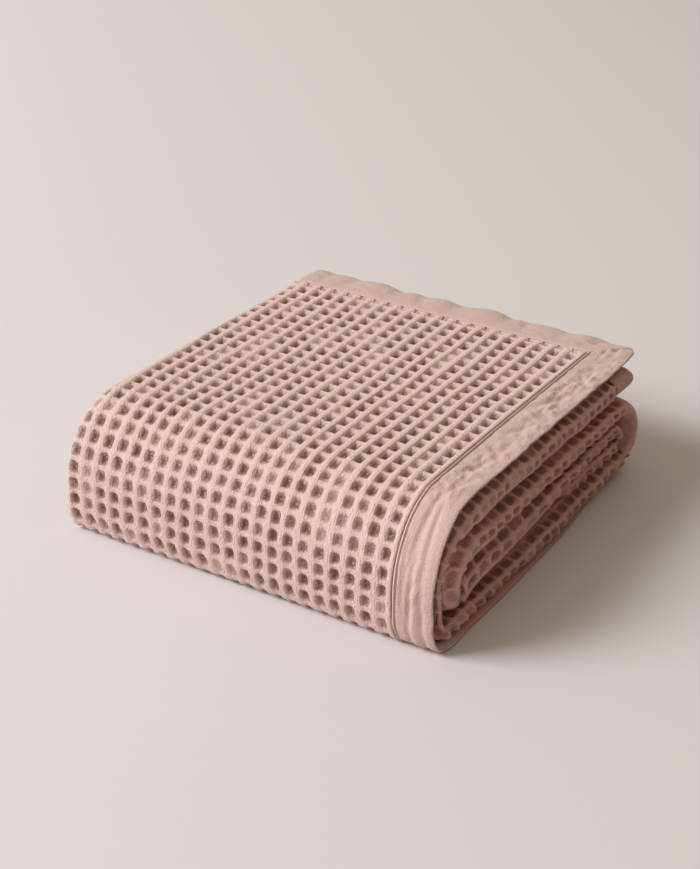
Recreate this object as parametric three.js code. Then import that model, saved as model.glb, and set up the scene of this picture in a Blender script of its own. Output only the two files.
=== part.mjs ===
// Folded linen waffle blanket.
// A long cloth is folded in three across its width and then rolled flat, turn over turn, into five tiers.
// Millimetres, +Z up. X runs along the front fold, +Y to the back, and the stack lies on Z = 0.
// The cloth is mapped from its flat coordinates to the folded shape, and each sewn piece is a patch of it.
import * as THREE from 'three';

// Cloth and sewing
const CLOTH = 5.5; // thickness of the waffle weave
const BAND = 3; // thickness of the plain linen border, which is turned double
const BORDER = 36; // width of the border
const SEAM = 0.4; // gap that parts the border from the waffle panel

// Layers: three to a tier, named a, b and c from the outside of the roll
const AIR = 2; // air between two layers
const LAYER = CLOTH + AIR; // from one layer's middle to the next
const TIER = 3 * LAYER; // from one tier's middle to the next
const REACH = LAYER + CLOTH / 2; // from the middle of layer b to the outer face of layer a

// The folded stack
const FRONT = -184.8; // Y of the rounded front
const BACK = 172.5; // Y of the rounded fold at the back
const HEAD_RUN = 264; // straight run of the top tier
const HEAD_DROOP = { radius: 180, turn: 12 }; // the free end on top hangs a little
const FRONT_LOW = 11.75; // radius of layer b at the lower front corners
const FRONT_TOP = 3 * TIER - FRONT_LOW; // radius of layer b at the upper front corner of the outermost turn
const BACK_TOP = 38; // radius of layer b at the upper corner of the back fold
const BACK_LOW = 25; // radius of layer b at its lower corner
const START_PART = 28; // first stretch of tier 3, where its fold begins to hang
const MIDDLE_PART = 100; // middle stretch of tiers 3 and 4, where their folds cross over
const BACK_PART = 65; // back stretch of tiers 3 and 4

// The folds across the width
const BULB = 12; // how far the round end of the right-hand fold reaches
const SWELL = 14; // length over which layers b and c part before that round end
const SKEW = 30; // how far the right-hand fold lags behind the top layer at the head end
const LAG_BACK = 0.4; // share of that lag that layer c makes up again

// The stack slumps: it is higher at the front than at the back, and a little uneven
const FRONT_LIFT = 0.012;
const BACK_LIFT = -0.05;
const WAVE = { height: 1.1, across: 71, along: 83 };

// Heights of the corner centres and lengths of the straight runs, worked out from the sizes above
const BOTTOM = REACH; // Z of layer b in the lowest tier
const FRONT_CENTRE = FRONT + REACH + FRONT_TOP; // Y of the upper front corners' centre
const BACK_CENTRE = BACK - REACH - BACK_TOP; // Y of the upper back corner's centre
const INNER_TOP = FRONT_TOP - TIER; // radius of layer b at the inner turn's upper front corner
const CORE_TOP = INNER_TOP - TIER; // radius of layer b where the inner free end curls down
const CORE_RUN = BACK_CENTRE - FRONT_CENTRE;
const FOURTH_RUN = BACK_CENTRE - (FRONT_CENTRE - INNER_TOP + FRONT_LOW);
const FLOOR_RUN = (BACK - REACH - BACK_LOW) - (FRONT + REACH + FRONT_LOW);
const FRONT_PART = CORE_RUN - START_PART - MIDDLE_PART - BACK_PART;
const FOURTH_FRONT = FOURTH_RUN - MIDDLE_PART - BACK_PART;
const BACK_RISE = 3 * TIER - BACK_TOP - BACK_LOW;
const FRONT_RISE = 4 * TIER - FRONT_LOW - FRONT_TOP;

// The roll of layer b from the inner free end to the head end on top, one row for each run or corner.
// Tiers are counted from the top, so tier 5 lies on the floor.
// run: straight length. radius, turn: a corner, in degrees. steps: facets along it.
// At the row's start: edge is X of layer a's free edge, fold X of the right-hand fold and left X of the
// left-hand fold. b and c are how many layers that side of the right-hand fold hangs out towards layer a,
// and are left out where it doesn't hang.
const ROLL = [
  { row: 'inner end', radius: CORE_TOP, turn: 90, steps: 3, edge: 125, fold: 150, left: -171 },
  { row: 'tier 3 start', run: START_PART, steps: 2, edge: 130, fold: 153, left: -173 },
  { row: 'tier 3 front', run: FRONT_PART, steps: 3, edge: 130, fold: 153, left: -173, c: -1.9 },
  { row: 'tier 3 middle', run: MIDDLE_PART, steps: 3, edge: 130, fold: 176, left: -173, c: -1.7 },
  { row: 'tier 3 back', run: BACK_PART, steps: 2, edge: 140, fold: 175, left: -173, c: -0.7 },
  { row: 'inner fold', radius: TIER / 2, turn: 180, steps: 6, edge: 140, fold: 174, left: -172 },
  { row: 'tier 4 back', run: BACK_PART, steps: 2, edge: 140, fold: 173, left: -173, b: 0.3, c: 0.2 },
  { row: 'tier 4 middle', run: MIDDLE_PART, steps: 3, edge: 140, fold: 171, left: -173, b: 0.8, c: 0.75 },
  { row: 'tier 4 front', run: FOURTH_FRONT, steps: 2, edge: 130, fold: 126, left: -174 },
  { row: 'inner low', radius: FRONT_LOW, turn: 90, steps: 3, edge: 130, fold: 124, left: -174 },
  { row: 'inner top', radius: INNER_TOP, turn: 90, steps: 4, edge: 131, fold: 160, left: -174 },
  { row: 'tier 2', run: CORE_RUN, steps: 5, edge: 140, fold: 177, left: -173, c: -1 },
  { row: 'back top', radius: BACK_TOP, turn: 90, steps: 4, edge: 140, fold: 177, left: -171, c: -0.6 },
  { row: 'back rise', run: BACK_RISE, steps: 1, edge: 155, fold: 177, left: -170 },
  { row: 'back low', radius: BACK_LOW, turn: 90, steps: 4, edge: 157, fold: 176, left: -170 },
  { row: 'tier 5', run: FLOOR_RUN, steps: 6, edge: 169, fold: 173, left: -172 },
  { row: 'front low', radius: FRONT_LOW, turn: 90, steps: 4, edge: 178, fold: 172, left: -175, c: -0.5 },
  { row: 'front rise', run: FRONT_RISE, steps: 2, edge: 171, fold: 169, left: -177 },
  { row: 'front top', radius: FRONT_TOP, turn: 90, steps: 6, edge: 170, fold: 169, left: -175, c: -0.2 },
  { row: 'tier 1', run: HEAD_RUN, steps: 6, edge: 168, fold: 173, left: -171, c: -1 },
  { row: 'head', ...HEAD_DROOP, steps: 2, edge: 168, fold: 174, left: -160, c: -0.8 },
  { row: 'head end', run: 0, steps: 0, edge: 167, fold: 172, left: -158, c: -0.4 },
];

// Stations across the cloth: whole numbers are where one stretch ends and the next begins.
// 0 to 1 right border, 1 to 2 layer a, 2 to 3 left fold, 3 to 4 layer b, 4 to 5 its swell,
// 5 to 6 right fold, 6 to 7 the swell of layer c, 7 to 8 layer c, 8 to 9 left border.
const STATIONS = {
  edge: 0,
  seam: 1,
  leftFold: 2,
  b: 3,
  bSwell: 4,
  rightFold: 5,
  cSwell: 6,
  c: 7,
  cSeam: 8,
  cEdge: 9,
};
const FACETS = [2, 4, 4, 4, 2, 6, 2, 4, 2]; // facets across each stretch
const LAYER_WIDTH = 300; // about the width of one layer inside its border
const SEAM_SHARE = SEAM / LAYER_WIDTH; // the seam as a share of that width
const FACE_STEP = 0.02; // step between stations over which the cloth's direction is taken
const END_CLEAR = 4; // least distance of a facet line from the panel's seams at its ends

const smooth = (t) => t * t * (3 - 2 * t);
const clamp01 = (t) => Math.min(1, Math.max(0, t));
const mix = THREE.MathUtils.lerp;
const radians = THREE.MathUtils.degToRad;

// Walks the roll and notes where each row starts: its distance along the cloth, place and heading.
function walkRoll() {
  let at = 0;
  let y = FRONT_CENTRE - CORE_TOP;
  let z = BOTTOM + 2 * TIER - CORE_TOP;
  let heading = Math.PI / 2;
  return ROLL.map((row) => {
    const angle = radians(row.turn ?? 0);
    const length = row.run ?? row.radius * angle;
    const start = { b: 0, c: 0, ...row, at, y, z, heading, angle, length };
    const end = placeOnRow(start, length);
    at += length;
    y = end.y;
    z = end.z;
    heading = end.heading;
    return start;
  });
}

// Place and heading on layer b, a distance past the start of one row. Corners turn clockwise seen from +X.
function placeOnRow(row, distance) {
  if (!row.angle) {
    const y = row.y + distance * Math.cos(row.heading);
    const z = row.z + distance * Math.sin(row.heading);
    return { y, z, heading: row.heading };
  }
  const heading = row.heading - distance / row.radius;
  const y = row.y + row.radius * (Math.sin(row.heading) - Math.sin(heading));
  const z = row.z - row.radius * (Math.cos(row.heading) - Math.cos(heading));
  return { y, z, heading };
}

const rows = walkRoll();
const LENGTH = rows.at(-1).at; // flat length of the cloth
const TOP_START = rows.find(({ row }) => row === 'tier 1').at;

// Place, heading and section values at a distance along the cloth.
function rollAt(distance) {
  const last = rows.length - 2;
  let k = rows.findIndex((row, i) => i === last || distance < row.at + row.length);
  k = Math.max(0, k);
  const [row, next] = [rows[k], rows[k + 1]];
  const share = smooth(clamp01((distance - row.at) / row.length));
  const section = {};
  for (const key of ['edge', 'fold', 'left', 'b', 'c']) {
    section[key] = mix(row[key], next[key], share);
  }
  return { ...placeOnRow(row, distance - row.at), ...section };
}

// The section across the cloth at one station: X, and the distance out of layer b towards layer a.
function sectionAt(station, { edge, fold, left, b, c }) {
  const stretch = Math.min(STATIONS.cSeam, Math.floor(station));
  const t = station - stretch;
  const turn = LAYER / 2; // radius of the left-hand fold
  const foldStart = fold - BULB;
  const swellStart = foldStart - SWELL;
  const cEnd = left + 2 * turn;
  const [bOut, cOut] = [b * LAYER, (c - 1) * LAYER];
  const angle = Math.PI * t;
  const middle = (bOut + cOut) / 2;
  switch (stretch) {
    case STATIONS.edge:
      return { x: edge - BORDER * t, out: LAYER };
    case STATIONS.seam:
      return { x: mix(edge - BORDER, left + turn, t), out: LAYER };
    case STATIONS.leftFold:
      return { x: left + turn - turn * Math.sin(angle), out: turn + turn * Math.cos(angle) };
    case STATIONS.b:
      return { x: mix(left + turn, swellStart, t), out: 0 };
    case STATIONS.bSwell:
      return { x: mix(swellStart, foldStart, t), out: mix(0, bOut, smooth(t)) };
    case STATIONS.rightFold:
      return { x: foldStart + BULB * Math.sin(angle), out: middle + (bOut - middle) * Math.cos(angle) };
    case STATIONS.cSwell:
      return { x: mix(foldStart, swellStart, t), out: mix(cOut, -LAYER, smooth(t)) };
    case STATIONS.c:
      return { x: mix(swellStart, cEnd + BORDER, t), out: -LAYER };
    default:
      return { x: cEnd + BORDER * (1 - t), out: -LAYER };
  }
}

// How far the folded-in layers lag behind layer a: nothing below the top tier, and most at the head end.
function lagAt(station, distance) {
  const { b, rightFold, cSwell, cEdge } = STATIONS;
  const across = clamp01((station - b) / (rightFold - b));
  const back = clamp01((station - cSwell) / (cEdge - cSwell));
  const onTop = clamp01((distance - TOP_START) / (LENGTH - TOP_START));
  return SKEW * (across - LAG_BACK * back) * onTop;
}

// The slumped shape of the stack, which leaves the floor face flat.
function slump(point) {
  const share = smooth(clamp01((point.y - FRONT) / (BACK - FRONT)));
  const lift = mix(FRONT_LIFT, BACK_LIFT, share);
  const height = point.z / (5 * TIER);
  const wave = WAVE.height * Math.sin(point.x / WAVE.across) * Math.cos(point.y / WAVE.along);
  point.z = point.z * (1 + lift) + height * wave;
  return point;
}

// The middle of the cloth at a station across it and a distance along it, before the stack slumps.
function clothAt(station, distance) {
  const roll = rollAt(distance - lagAt(station, distance));
  const { x, out } = sectionAt(station, roll);
  const y = roll.y - out * Math.sin(roll.heading);
  const z = roll.z + out * Math.cos(roll.heading);
  return new THREE.Vector3(x, y, z);
}

// The direction out of the cloth, towards the face that is outermost on layer a.
function faceAt(station, distance) {
  const across = clothAt(station + FACE_STEP, distance).sub(clothAt(station - FACE_STEP, distance));
  const along = clothAt(station, distance + 1).sub(clothAt(station, distance - 1));
  return along.cross(across).normalize();
}

// A patch of cloth as one closed solid. grid(i, j) gives the station and distance of column i and row j,
// and faces(station) how far the patch's two faces lie from the middle of the cloth.
function clothSolid(columns, rowCount, grid, faces) {
  const positions = [];
  const index = [];
  const perSide = columns * rowCount;
  for (const side of [0, 1]) {
    for (let j = 0; j < rowCount; j += 1) {
      for (let i = 0; i < columns; i += 1) {
        const [station, distance] = grid(i, j);
        const inside = THREE.MathUtils.clamp(station, FACE_STEP, STATIONS.cEdge - FACE_STEP);
        const offset = faces(station)[side];
        const point = clothAt(station, distance).addScaledVector(faceAt(inside, distance), offset);
        positions.push(...slump(point));
      }
    }
  }
  const outer = (i, j) => j * columns + i;
  const inner = (i, j) => perSide + outer(i, j);
  const quad = (p, q, r, s) => index.push(p, q, r, p, r, s);
  for (let j = 0; j + 1 < rowCount; j += 1) {
    for (let i = 0; i + 1 < columns; i += 1) {
      quad(outer(i, j), outer(i, j + 1), outer(i + 1, j + 1), outer(i + 1, j));
      quad(inner(i, j), inner(i + 1, j), inner(i + 1, j + 1), inner(i, j + 1));
    }
  }
  for (let j = 0; j + 1 < rowCount; j += 1) {
    const end = columns - 1;
    quad(outer(0, j), inner(0, j), inner(0, j + 1), outer(0, j + 1));
    quad(outer(end, j), outer(end, j + 1), inner(end, j + 1), inner(end, j));
  }
  for (let i = 0; i + 1 < columns; i += 1) {
    const end = rowCount - 1;
    quad(outer(i, 0), outer(i + 1, 0), inner(i + 1, 0), inner(i, 0));
    quad(outer(i, end), inner(i, end), inner(i + 1, end), outer(i + 1, end));
  }
  const geometry = new THREE.BufferGeometry();
  geometry.setAttribute('position', new THREE.Float32BufferAttribute(positions, 3));
  geometry.setIndex(index);
  geometry.computeVertexNormals();
  return geometry;
}

// Distances along the cloth at which the roll is faceted.
function rollStops() {
  const stops = [];
  for (const row of rows) {
    for (let k = 0; k < row.steps; k += 1) {
      stops.push(row.at + (row.length * k) / row.steps);
    }
  }
  return [...stops, LENGTH];
}

// Stations from one whole number to another, by the facets of the stretches between.
function stationStops(first, last) {
  const stops = [];
  for (let stretch = first; stretch < last; stretch += 1) {
    for (let k = 0; k < FACETS[stretch]; k += 1) {
      stops.push(stretch + k / FACETS[stretch]);
    }
  }
  return [...stops, last];
}

// Moves a stop near either end of the cloth inwards, so that the end lies at the mitre's inset.
function mitred(stop, inset) {
  const zone = 2 * BORDER;
  const fromStart = stop + inset * clamp01(1 - stop / zone);
  return fromStart - inset * clamp01(1 - (LENGTH - stop) / zone);
}

const waffleFaces = () => [CLOTH / 2, -CLOTH / 2];

// The border's faces: flush with the outer face of layer a, and in the middle of the cloth elsewhere.
function borderFaces(station) {
  const flush = ((CLOTH - BAND) / 2) * clamp01(STATIONS.b - station);
  return [flush + BAND / 2, flush - BAND / 2];
}

// The waffle panel, inside the borders.
function wafflePanel() {
  const across = stationStops(STATIONS.seam, STATIONS.cSeam);
  across[0] += SEAM_SHARE;
  across[across.length - 1] -= SEAM_SHARE;
  const [foot, head] = [BORDER + SEAM, LENGTH - BORDER - SEAM];
  const clear = (stop) => stop > foot + END_CLEAR && stop < head - END_CLEAR;
  const along = [foot, ...rollStops().filter(clear), head];
  return clothSolid(across.length, along.length, (i, j) => [across[i], along[j]], waffleFaces);
}

// A border along a long edge, mitred at both ends. inset(station) is 0 on its free edge and 1 at its seam.
function sideBorder(first, last, inset) {
  const across = stationStops(first, last);
  const along = rollStops();
  const grid = (i, j) => [across[i], mitred(along[j], BORDER * inset(across[i]))];
  return clothSolid(across.length, along.length, grid, borderFaces);
}

// A border across an end of the cloth, mitred at both sides. The seam is inside, the free edge at the end.
function endBorder(seam, end) {
  const across = stationStops(STATIONS.edge, STATIONS.cEdge);
  const first = FACETS[STATIONS.edge];
  const inner = across.slice(first, -FACETS.at(-1));
  const along = [seam, mix(seam, end, 0.5), end].sort((p, q) => p - q);
  const gap = (1.5 * SEAM) / BORDER; // keeps the mitre open
  const grid = (i, j) => {
    const inset = Math.abs(end - along[j]) / BORDER;
    const stops = [inset + gap, ...inner.slice(1, -1), STATIONS.cEdge - inset - gap];
    return [stops[i], along[j]];
  };
  return clothSolid(inner.length, along.length, grid, borderFaces);
}

const waffleLinen = new THREE.MeshStandardMaterial({ color: 0xc9a797, roughness: 0.95, metalness: 0 });
const plainLinen = new THREE.MeshStandardMaterial({ color: 0xcfae9f, roughness: 0.9, metalness: 0 });

const blanket = new THREE.Group();

function addPiece(name, geometry, material) {
  const mesh = new THREE.Mesh(geometry, material);
  mesh.name = name;
  blanket.add(mesh);
}

const { edge, seam, cSeam, cEdge } = STATIONS;
addPiece('waffle_panel', wafflePanel(), waffleLinen);
addPiece('border_right', sideBorder(edge, seam, (station) => station), plainLinen);
addPiece('border_left', sideBorder(cSeam, cEdge, (station) => cEdge - station), plainLinen);
addPiece('border_head', endBorder(LENGTH - BORDER, LENGTH), plainLinen);
addPiece('border_foot', endBorder(BORDER, 0), plainLinen);

export default blanket;
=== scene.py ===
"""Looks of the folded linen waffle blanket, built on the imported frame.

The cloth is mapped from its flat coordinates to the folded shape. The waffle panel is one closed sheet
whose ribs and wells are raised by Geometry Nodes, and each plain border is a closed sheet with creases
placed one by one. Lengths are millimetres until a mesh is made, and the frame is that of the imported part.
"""

from __future__ import annotations

import logging
import math
from bisect import bisect_left, bisect_right
from dataclasses import dataclass
from enum import Enum, IntEnum
from functools import cached_property
from typing import Any, Iterable, Sequence

import bmesh
import bpy
import numpy as np
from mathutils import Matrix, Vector

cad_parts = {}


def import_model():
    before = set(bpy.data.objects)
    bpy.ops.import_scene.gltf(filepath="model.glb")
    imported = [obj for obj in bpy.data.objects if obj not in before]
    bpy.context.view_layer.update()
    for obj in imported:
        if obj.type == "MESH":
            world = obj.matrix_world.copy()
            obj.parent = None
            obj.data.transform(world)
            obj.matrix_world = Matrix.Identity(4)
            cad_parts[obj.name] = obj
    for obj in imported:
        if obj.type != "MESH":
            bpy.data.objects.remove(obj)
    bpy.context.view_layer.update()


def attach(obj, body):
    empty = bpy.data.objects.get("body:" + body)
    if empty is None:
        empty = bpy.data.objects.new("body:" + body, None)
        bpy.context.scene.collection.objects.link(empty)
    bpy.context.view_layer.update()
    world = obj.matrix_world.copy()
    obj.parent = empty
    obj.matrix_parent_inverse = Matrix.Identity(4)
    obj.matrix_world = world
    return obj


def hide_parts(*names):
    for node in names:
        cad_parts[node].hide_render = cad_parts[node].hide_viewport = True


log = logging.getLogger("blanket")

MM = 0.001
TINY = 1e-6
SECTION = ("edge", "fold", "left", "b", "c")
Array = np.ndarray
Pair = tuple[float, float]
Colour = tuple[float, float, float]
Point = tuple[float, float, float]
Options = dict[Any, Any] | None
Numbers = dict[tuple[int, float, float], int]


def smooth(share: Array) -> Array:
    """Eases a share from 0 to 1 in and out."""
    return share * share * (3 - 2 * share)


def mix(low: Any, high: Any, share: Any) -> Any:
    """Goes from low to high by a share."""
    return low + (high - low) * share


def clamp01(share: Array) -> Array:
    """Keeps a share between 0 and 1."""
    return np.clip(share, 0.0, 1.0)


def running(steps: Array) -> Array:
    """Lengths from the start to both ends of each step."""
    return np.concatenate([[0.0], np.cumsum(steps)])


def hump(distance: Array, width: float) -> Array:
    """A bell-shaped hump, which is 1 at no distance."""
    return np.exp(-((distance / width) ** 2))


class SoftNoise:
    """Smooth seeded noise on a plane, from -1 to 1 and one bump to a unit."""

    def __init__(self, seed: int, size: int = 64) -> None:
        """Draws the bumps, which repeat after so many."""
        self.values = np.random.default_rng(seed).uniform(-1, 1, (size, size))

    def cell(self, i: Array, j: Array) -> Array:
        """The bumps of whole places on the plane."""
        size = len(self.values)
        return self.values[i % size, j % size]

    def at(self, x: Array, y: Array) -> Array:
        """The noise at places on the plane.

        Args:
            x: first coordinates.
            y: second coordinates.

        Returns:
            The noise at each place.
        """
        x, y = np.broadcast_arrays(np.asarray(x, float), np.asarray(y, float))
        i, j = np.floor(x).astype(int), np.floor(y).astype(int)
        s, t = smooth(x - i), smooth(y - j)
        low, high = (mix(self.cell(i, j + b), self.cell(i + 1, j + b), s) for b in (0, 1))
        return mix(low, high, t)


# The folded cloth


@dataclass(frozen=True)
class Row:
    """One run or corner of the roll, with the section across the cloth at its start.

    edge is X of layer a's free edge, fold that of the right-hand fold and left that of the left-hand fold.
    b and c are how many layers that side of the right-hand fold hangs out towards layer a.
    """

    name: str
    edge: float
    fold: float
    left: float
    run: float = 0.0
    radius: float = 0.0
    turn: float = 0.0
    b: float = 0.0
    c: float = 0.0

    @property
    def length(self) -> float:
        """Length of the row along layer b."""
        return self.run + self.radius * math.radians(self.turn)


class Station(IntEnum):
    """Where one stretch across the cloth ends and the next begins."""

    EDGE = 0
    SEAM = 1
    LEFT_FOLD = 2
    B = 3
    B_SWELL = 4
    RIGHT_FOLD = 5
    C_SWELL = 6
    C = 7
    C_SEAM = 8
    C_EDGE = 9


@dataclass(frozen=True)
class Wobble:
    """Unevenness of one measure of the section, along the cloth and in its own lane of the noise."""

    measure: str
    height: float
    length: float
    lane: float


@dataclass(frozen=True)
class FoldedCloth:
    """The map from the flat cloth to the folded stack.

    A place on the cloth is a station across it and a distance along it. Three layers, a, b and c, make a
    tier, and the folded strip is rolled from its inner end to the head end on top.
    """

    # Thickness of the weave and of the borders, width of the borders, gap at the seams and air between layers
    cloth: float = 5.5
    band: float = 3.0
    border: float = 36.0
    seam: float = 0.4
    air: float = 2.0
    # The roll: its front and back faces, its runs and the radii of its corners
    tiers: int = 5
    front: float = -184.8
    back: float = 172.5
    head_run: float = 264.0
    head_radius: float = 180.0
    head_droop: float = 12.0
    front_low: float = 11.75
    back_top: float = 38.0
    back_low: float = 25.0
    start_part: float = 28.0
    emerging: float = 0.3
    middle_part: float = 100.0
    back_part: float = 65.0
    fourth_shares: tuple[float, float, float] = (0.86, 0.1, 0.04)
    # The right-hand fold: how far it bulges, and the length of the swelling on both sides of it
    bulb: float = 12.0
    swell: float = 14.0
    # How far the layers lag at the head end
    head_skew: float = 11.0
    skew: float = 19.0
    lag_back: float = 0.63
    # How the fold of tier 3 is drawn in behind the front turn, from the hidden part to the shown
    recess: float = 134.0
    shown: float = 172.0
    draw_forward: float = 45.0
    draw_down: float = 13.0
    draw_power: int = 4
    # How the stack slumps
    front_lift: float = 0.012
    back_lift: float = -0.05
    wave_height: float = 1.1
    wave_across: float = 71.0
    wave_along: float = 83.0
    front_square: float = 0.45
    # How uneven the right-hand fold is along the cloth
    uneven_seed: int = 31
    wobbles: tuple[Wobble, ...] = (
        Wobble("fold", height=1.3, length=21, lane=0.5),
        Wobble("b", height=0.16, length=17, lane=5.5),
        Wobble("c", height=0.16, length=19, lane=9.5),
    )

    @cached_property
    def unevenness(self) -> SoftNoise:
        """What makes the right-hand fold uneven along the cloth."""
        return SoftNoise(self.uneven_seed)

    @property
    def layer(self) -> float:
        """From one layer's middle to the next."""
        return self.cloth + self.air

    @property
    def tier(self) -> float:
        """From one tier's middle to the next."""
        return 3 * self.layer

    @property
    def reach(self) -> float:
        """From the middle of layer b to the outer face of layer a."""
        return self.layer + self.cloth / 2

    @cached_property
    def rows(self) -> tuple[Row, ...]:
        """The roll of layer b, from the inner end to the head end."""
        front_top = 3 * self.tier - self.front_low
        inner_top = front_top - self.tier
        core_top = inner_top - self.tier
        front_centre = self.front + self.reach + front_top
        back_centre = self.back - self.reach - self.back_top
        core = back_centre - front_centre
        fourth = back_centre - (front_centre - inner_top + self.front_low)
        floor = self.back - self.back_low - self.front - self.front_low - 2 * self.reach
        third_front = core - self.start_part - self.middle_part - self.back_part
        fourth_front = fourth - self.middle_part - self.back_part
        hidden, emerging, shown = (fourth_front * share for share in self.fourth_shares)
        back_rise = 3 * self.tier - self.back_top - self.back_low
        front_rise = 4 * self.tier - self.front_low - front_top
        return (
            Row("inner end", 125, 130, -171, radius=core_top, turn=90),
            Row("tier 3 start", 130, 132, -173, run=self.start_part * (1 - self.emerging)),
            Row("tier 3 emerging", 130, 134, -173, run=self.start_part * self.emerging, c=-0.6),
            Row("tier 3 front", 130, 172, -173, run=third_front, c=-2.6),
            Row("tier 3 middle", 130, 176, -173, run=self.middle_part, c=-2.1),
            Row("tier 3 back", 140, 175, -173, run=self.back_part, c=-0.4),
            Row("inner fold", 140, 174, -172, radius=self.tier / 2, turn=180),
            Row("tier 4 back", 140, 174, -173, run=self.back_part, b=0.5, c=0.1),
            Row("tier 4 middle", 140, 171, -173, run=self.middle_part, b=0.8, c=0.75),
            Row("tier 4 hidden", 130, 134, -174, run=hidden),
            Row("tier 4 emerging", 130, 134, -174, run=emerging, b=0.4),
            Row("tier 4 front", 130, 169, -174, run=shown, b=1.4, c=-0.4),
            Row("inner low", 130, 171, -174, radius=self.front_low, turn=90, b=1.7, c=-0.4),
            Row("inner top", 131, 172, -174, radius=inner_top, turn=90, b=1.2, c=-0.5),
            Row("tier 2", 140, 177, -173, run=core, b=0.1, c=-1),
            Row("back top", 140, 177, -171, radius=self.back_top, turn=90, c=-0.6),
            Row("back rise", 155, 177, -170, run=back_rise),
            Row("back low", 157, 176, -170, radius=self.back_low, turn=90),
            Row("tier 5", 169, 176, -172, run=floor / 2, b=0.2, c=-0.5),
            Row("tier 5 front", 178, 177, -174, run=floor / 2, b=0.4, c=-0.2),
            Row("front low", 178, 175, -175, radius=self.front_low, turn=90, b=0.2, c=0.4),
            Row("front rise", 172, 170, -177, run=front_rise),
            Row("front top", 172, 169, -175, radius=front_top, turn=90, b=0.2, c=-0.1),
            Row("tier 1", 169, 173, -171, run=self.head_run, b=0.3, c=-1),
            Row("head", 168, 174, -160, radius=self.head_radius, turn=self.head_droop, b=0.2, c=-0.8),
            Row("head end", 164, 172, -158, c=-0.4),
        )

    @cached_property
    def table(self) -> dict[str, Array]:
        """Columns of the roll: each row's section, start, heading and turning."""
        columns: dict[str, list[float]] = {}
        at, heading = 0.0, math.pi / 2
        first = self.rows[0].radius
        y = self.front + self.reach + 3 * self.tier - self.front_low - first
        z = self.reach + 2 * self.tier - first
        for row in self.rows:
            bend = 1 / row.radius if row.turn else 0.0
            start = {"at": at, "y": y, "z": z, "heading": heading, "bend": bend}
            section = {key: getattr(row, key) for key in SECTION}
            for key, value in {**start, **section, "length": max(row.length, TINY)}.items():
                columns.setdefault(key, []).append(value)
            end = heading - row.length * bend
            if bend:
                y += row.radius * (math.sin(heading) - math.sin(end))
                z -= row.radius * (math.cos(heading) - math.cos(end))
            else:
                y += row.run * math.cos(heading)
                z += row.run * math.sin(heading)
            at, heading = at + row.length, end
        return {key: np.array(values) for key, values in columns.items()}

    @property
    def length(self) -> float:
        """Flat length of the cloth."""
        return float(self.table["at"][-1])

    def start_of(self, name: str) -> float:
        """Distance along the cloth at which a named row starts."""
        return float(self.table["at"][[row.name for row in self.rows].index(name)])

    def within(self, distance: Array, first: str, last: str, fade: float) -> Array:
        """How far distances lie between the starts of two named rows, from 0 to 1 over a fade."""
        from_ends = np.minimum(distance - self.start_of(first), self.start_of(last) - distance)
        return clamp01(from_ends / fade)

    def row_of(self, distance: Array) -> Array:
        """Numbers of the rows that distances along the cloth lie in."""
        found = np.searchsorted(self.table["at"], distance, side="right") - 1
        return np.clip(found, 0, len(self.rows) - 2)

    def roll(self, distance: Array) -> dict[str, Array]:
        """Place, heading and section of layer b.

        Args:
            distance: distances along the cloth.

        Returns:
            The section's measures, y, z and heading, by name.
        """
        table = self.table
        k = self.row_of(distance)
        past = distance - table["at"][k]
        bend, start = table["bend"][k], table["heading"][k]
        heading = start - past * bend
        radius = 1 / np.where(bend > 0, bend, 1)
        corner_y = radius * (np.sin(start) - np.sin(heading))
        corner_z = -radius * (np.cos(start) - np.cos(heading))
        share = smooth(clamp01(past / table["length"][k]))
        found = {key: mix(table[key][k], table[key][k + 1], share) for key in SECTION}
        for wobble in self.wobbles:
            found[wobble.measure] += wobble.height * self.unevenness.at(distance / wobble.length, wobble.lane)
        found["y"] = table["y"][k] + np.where(bend > 0, corner_y, past * np.cos(start))
        found["z"] = table["z"][k] + np.where(bend > 0, corner_z, past * np.sin(start))
        found["heading"] = heading
        return found

    def section(self, station: Array, roll: dict[str, Array]) -> tuple[Array, Array]:
        """The section across the cloth.

        Args:
            station: stations across the cloth.
            roll: what roll gives for their distances along it.

        Returns:
            X, and the distance out of layer b towards layer a.
        """
        stretch = np.clip(np.floor(station), Station.EDGE, Station.C_SEAM).astype(int)
        t = station - stretch
        turn = self.layer / 2
        edge, left = roll["edge"], roll["left"]
        fold_start = roll["fold"] - self.bulb
        swell_start = fold_start - self.swell
        c_seam = left + 2 * turn + self.border
        b_out, c_out = roll["b"] * self.layer, (roll["c"] - 1) * self.layer
        middle = (b_out + c_out) / 2
        angle = np.pi * t
        flat = np.zeros_like(t)
        x = [
            edge - self.border * t,
            mix(edge - self.border, left + turn, t),
            left + turn - turn * np.sin(angle),
            mix(left + turn, swell_start, t),
            mix(swell_start, fold_start, t),
            fold_start + self.bulb * np.sin(angle),
            mix(fold_start, swell_start, t),
            mix(swell_start, c_seam, t),
            c_seam - self.border * t,
        ]
        out = [
            flat + self.layer,
            flat + self.layer,
            turn + turn * np.cos(angle),
            flat,
            b_out * smooth(t),
            middle + (b_out - middle) * np.cos(angle),
            mix(c_out, -self.layer, smooth(t)),
            flat - self.layer,
            flat - self.layer,
        ]
        return np.choose(stretch, x), np.choose(stretch, out)

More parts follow.
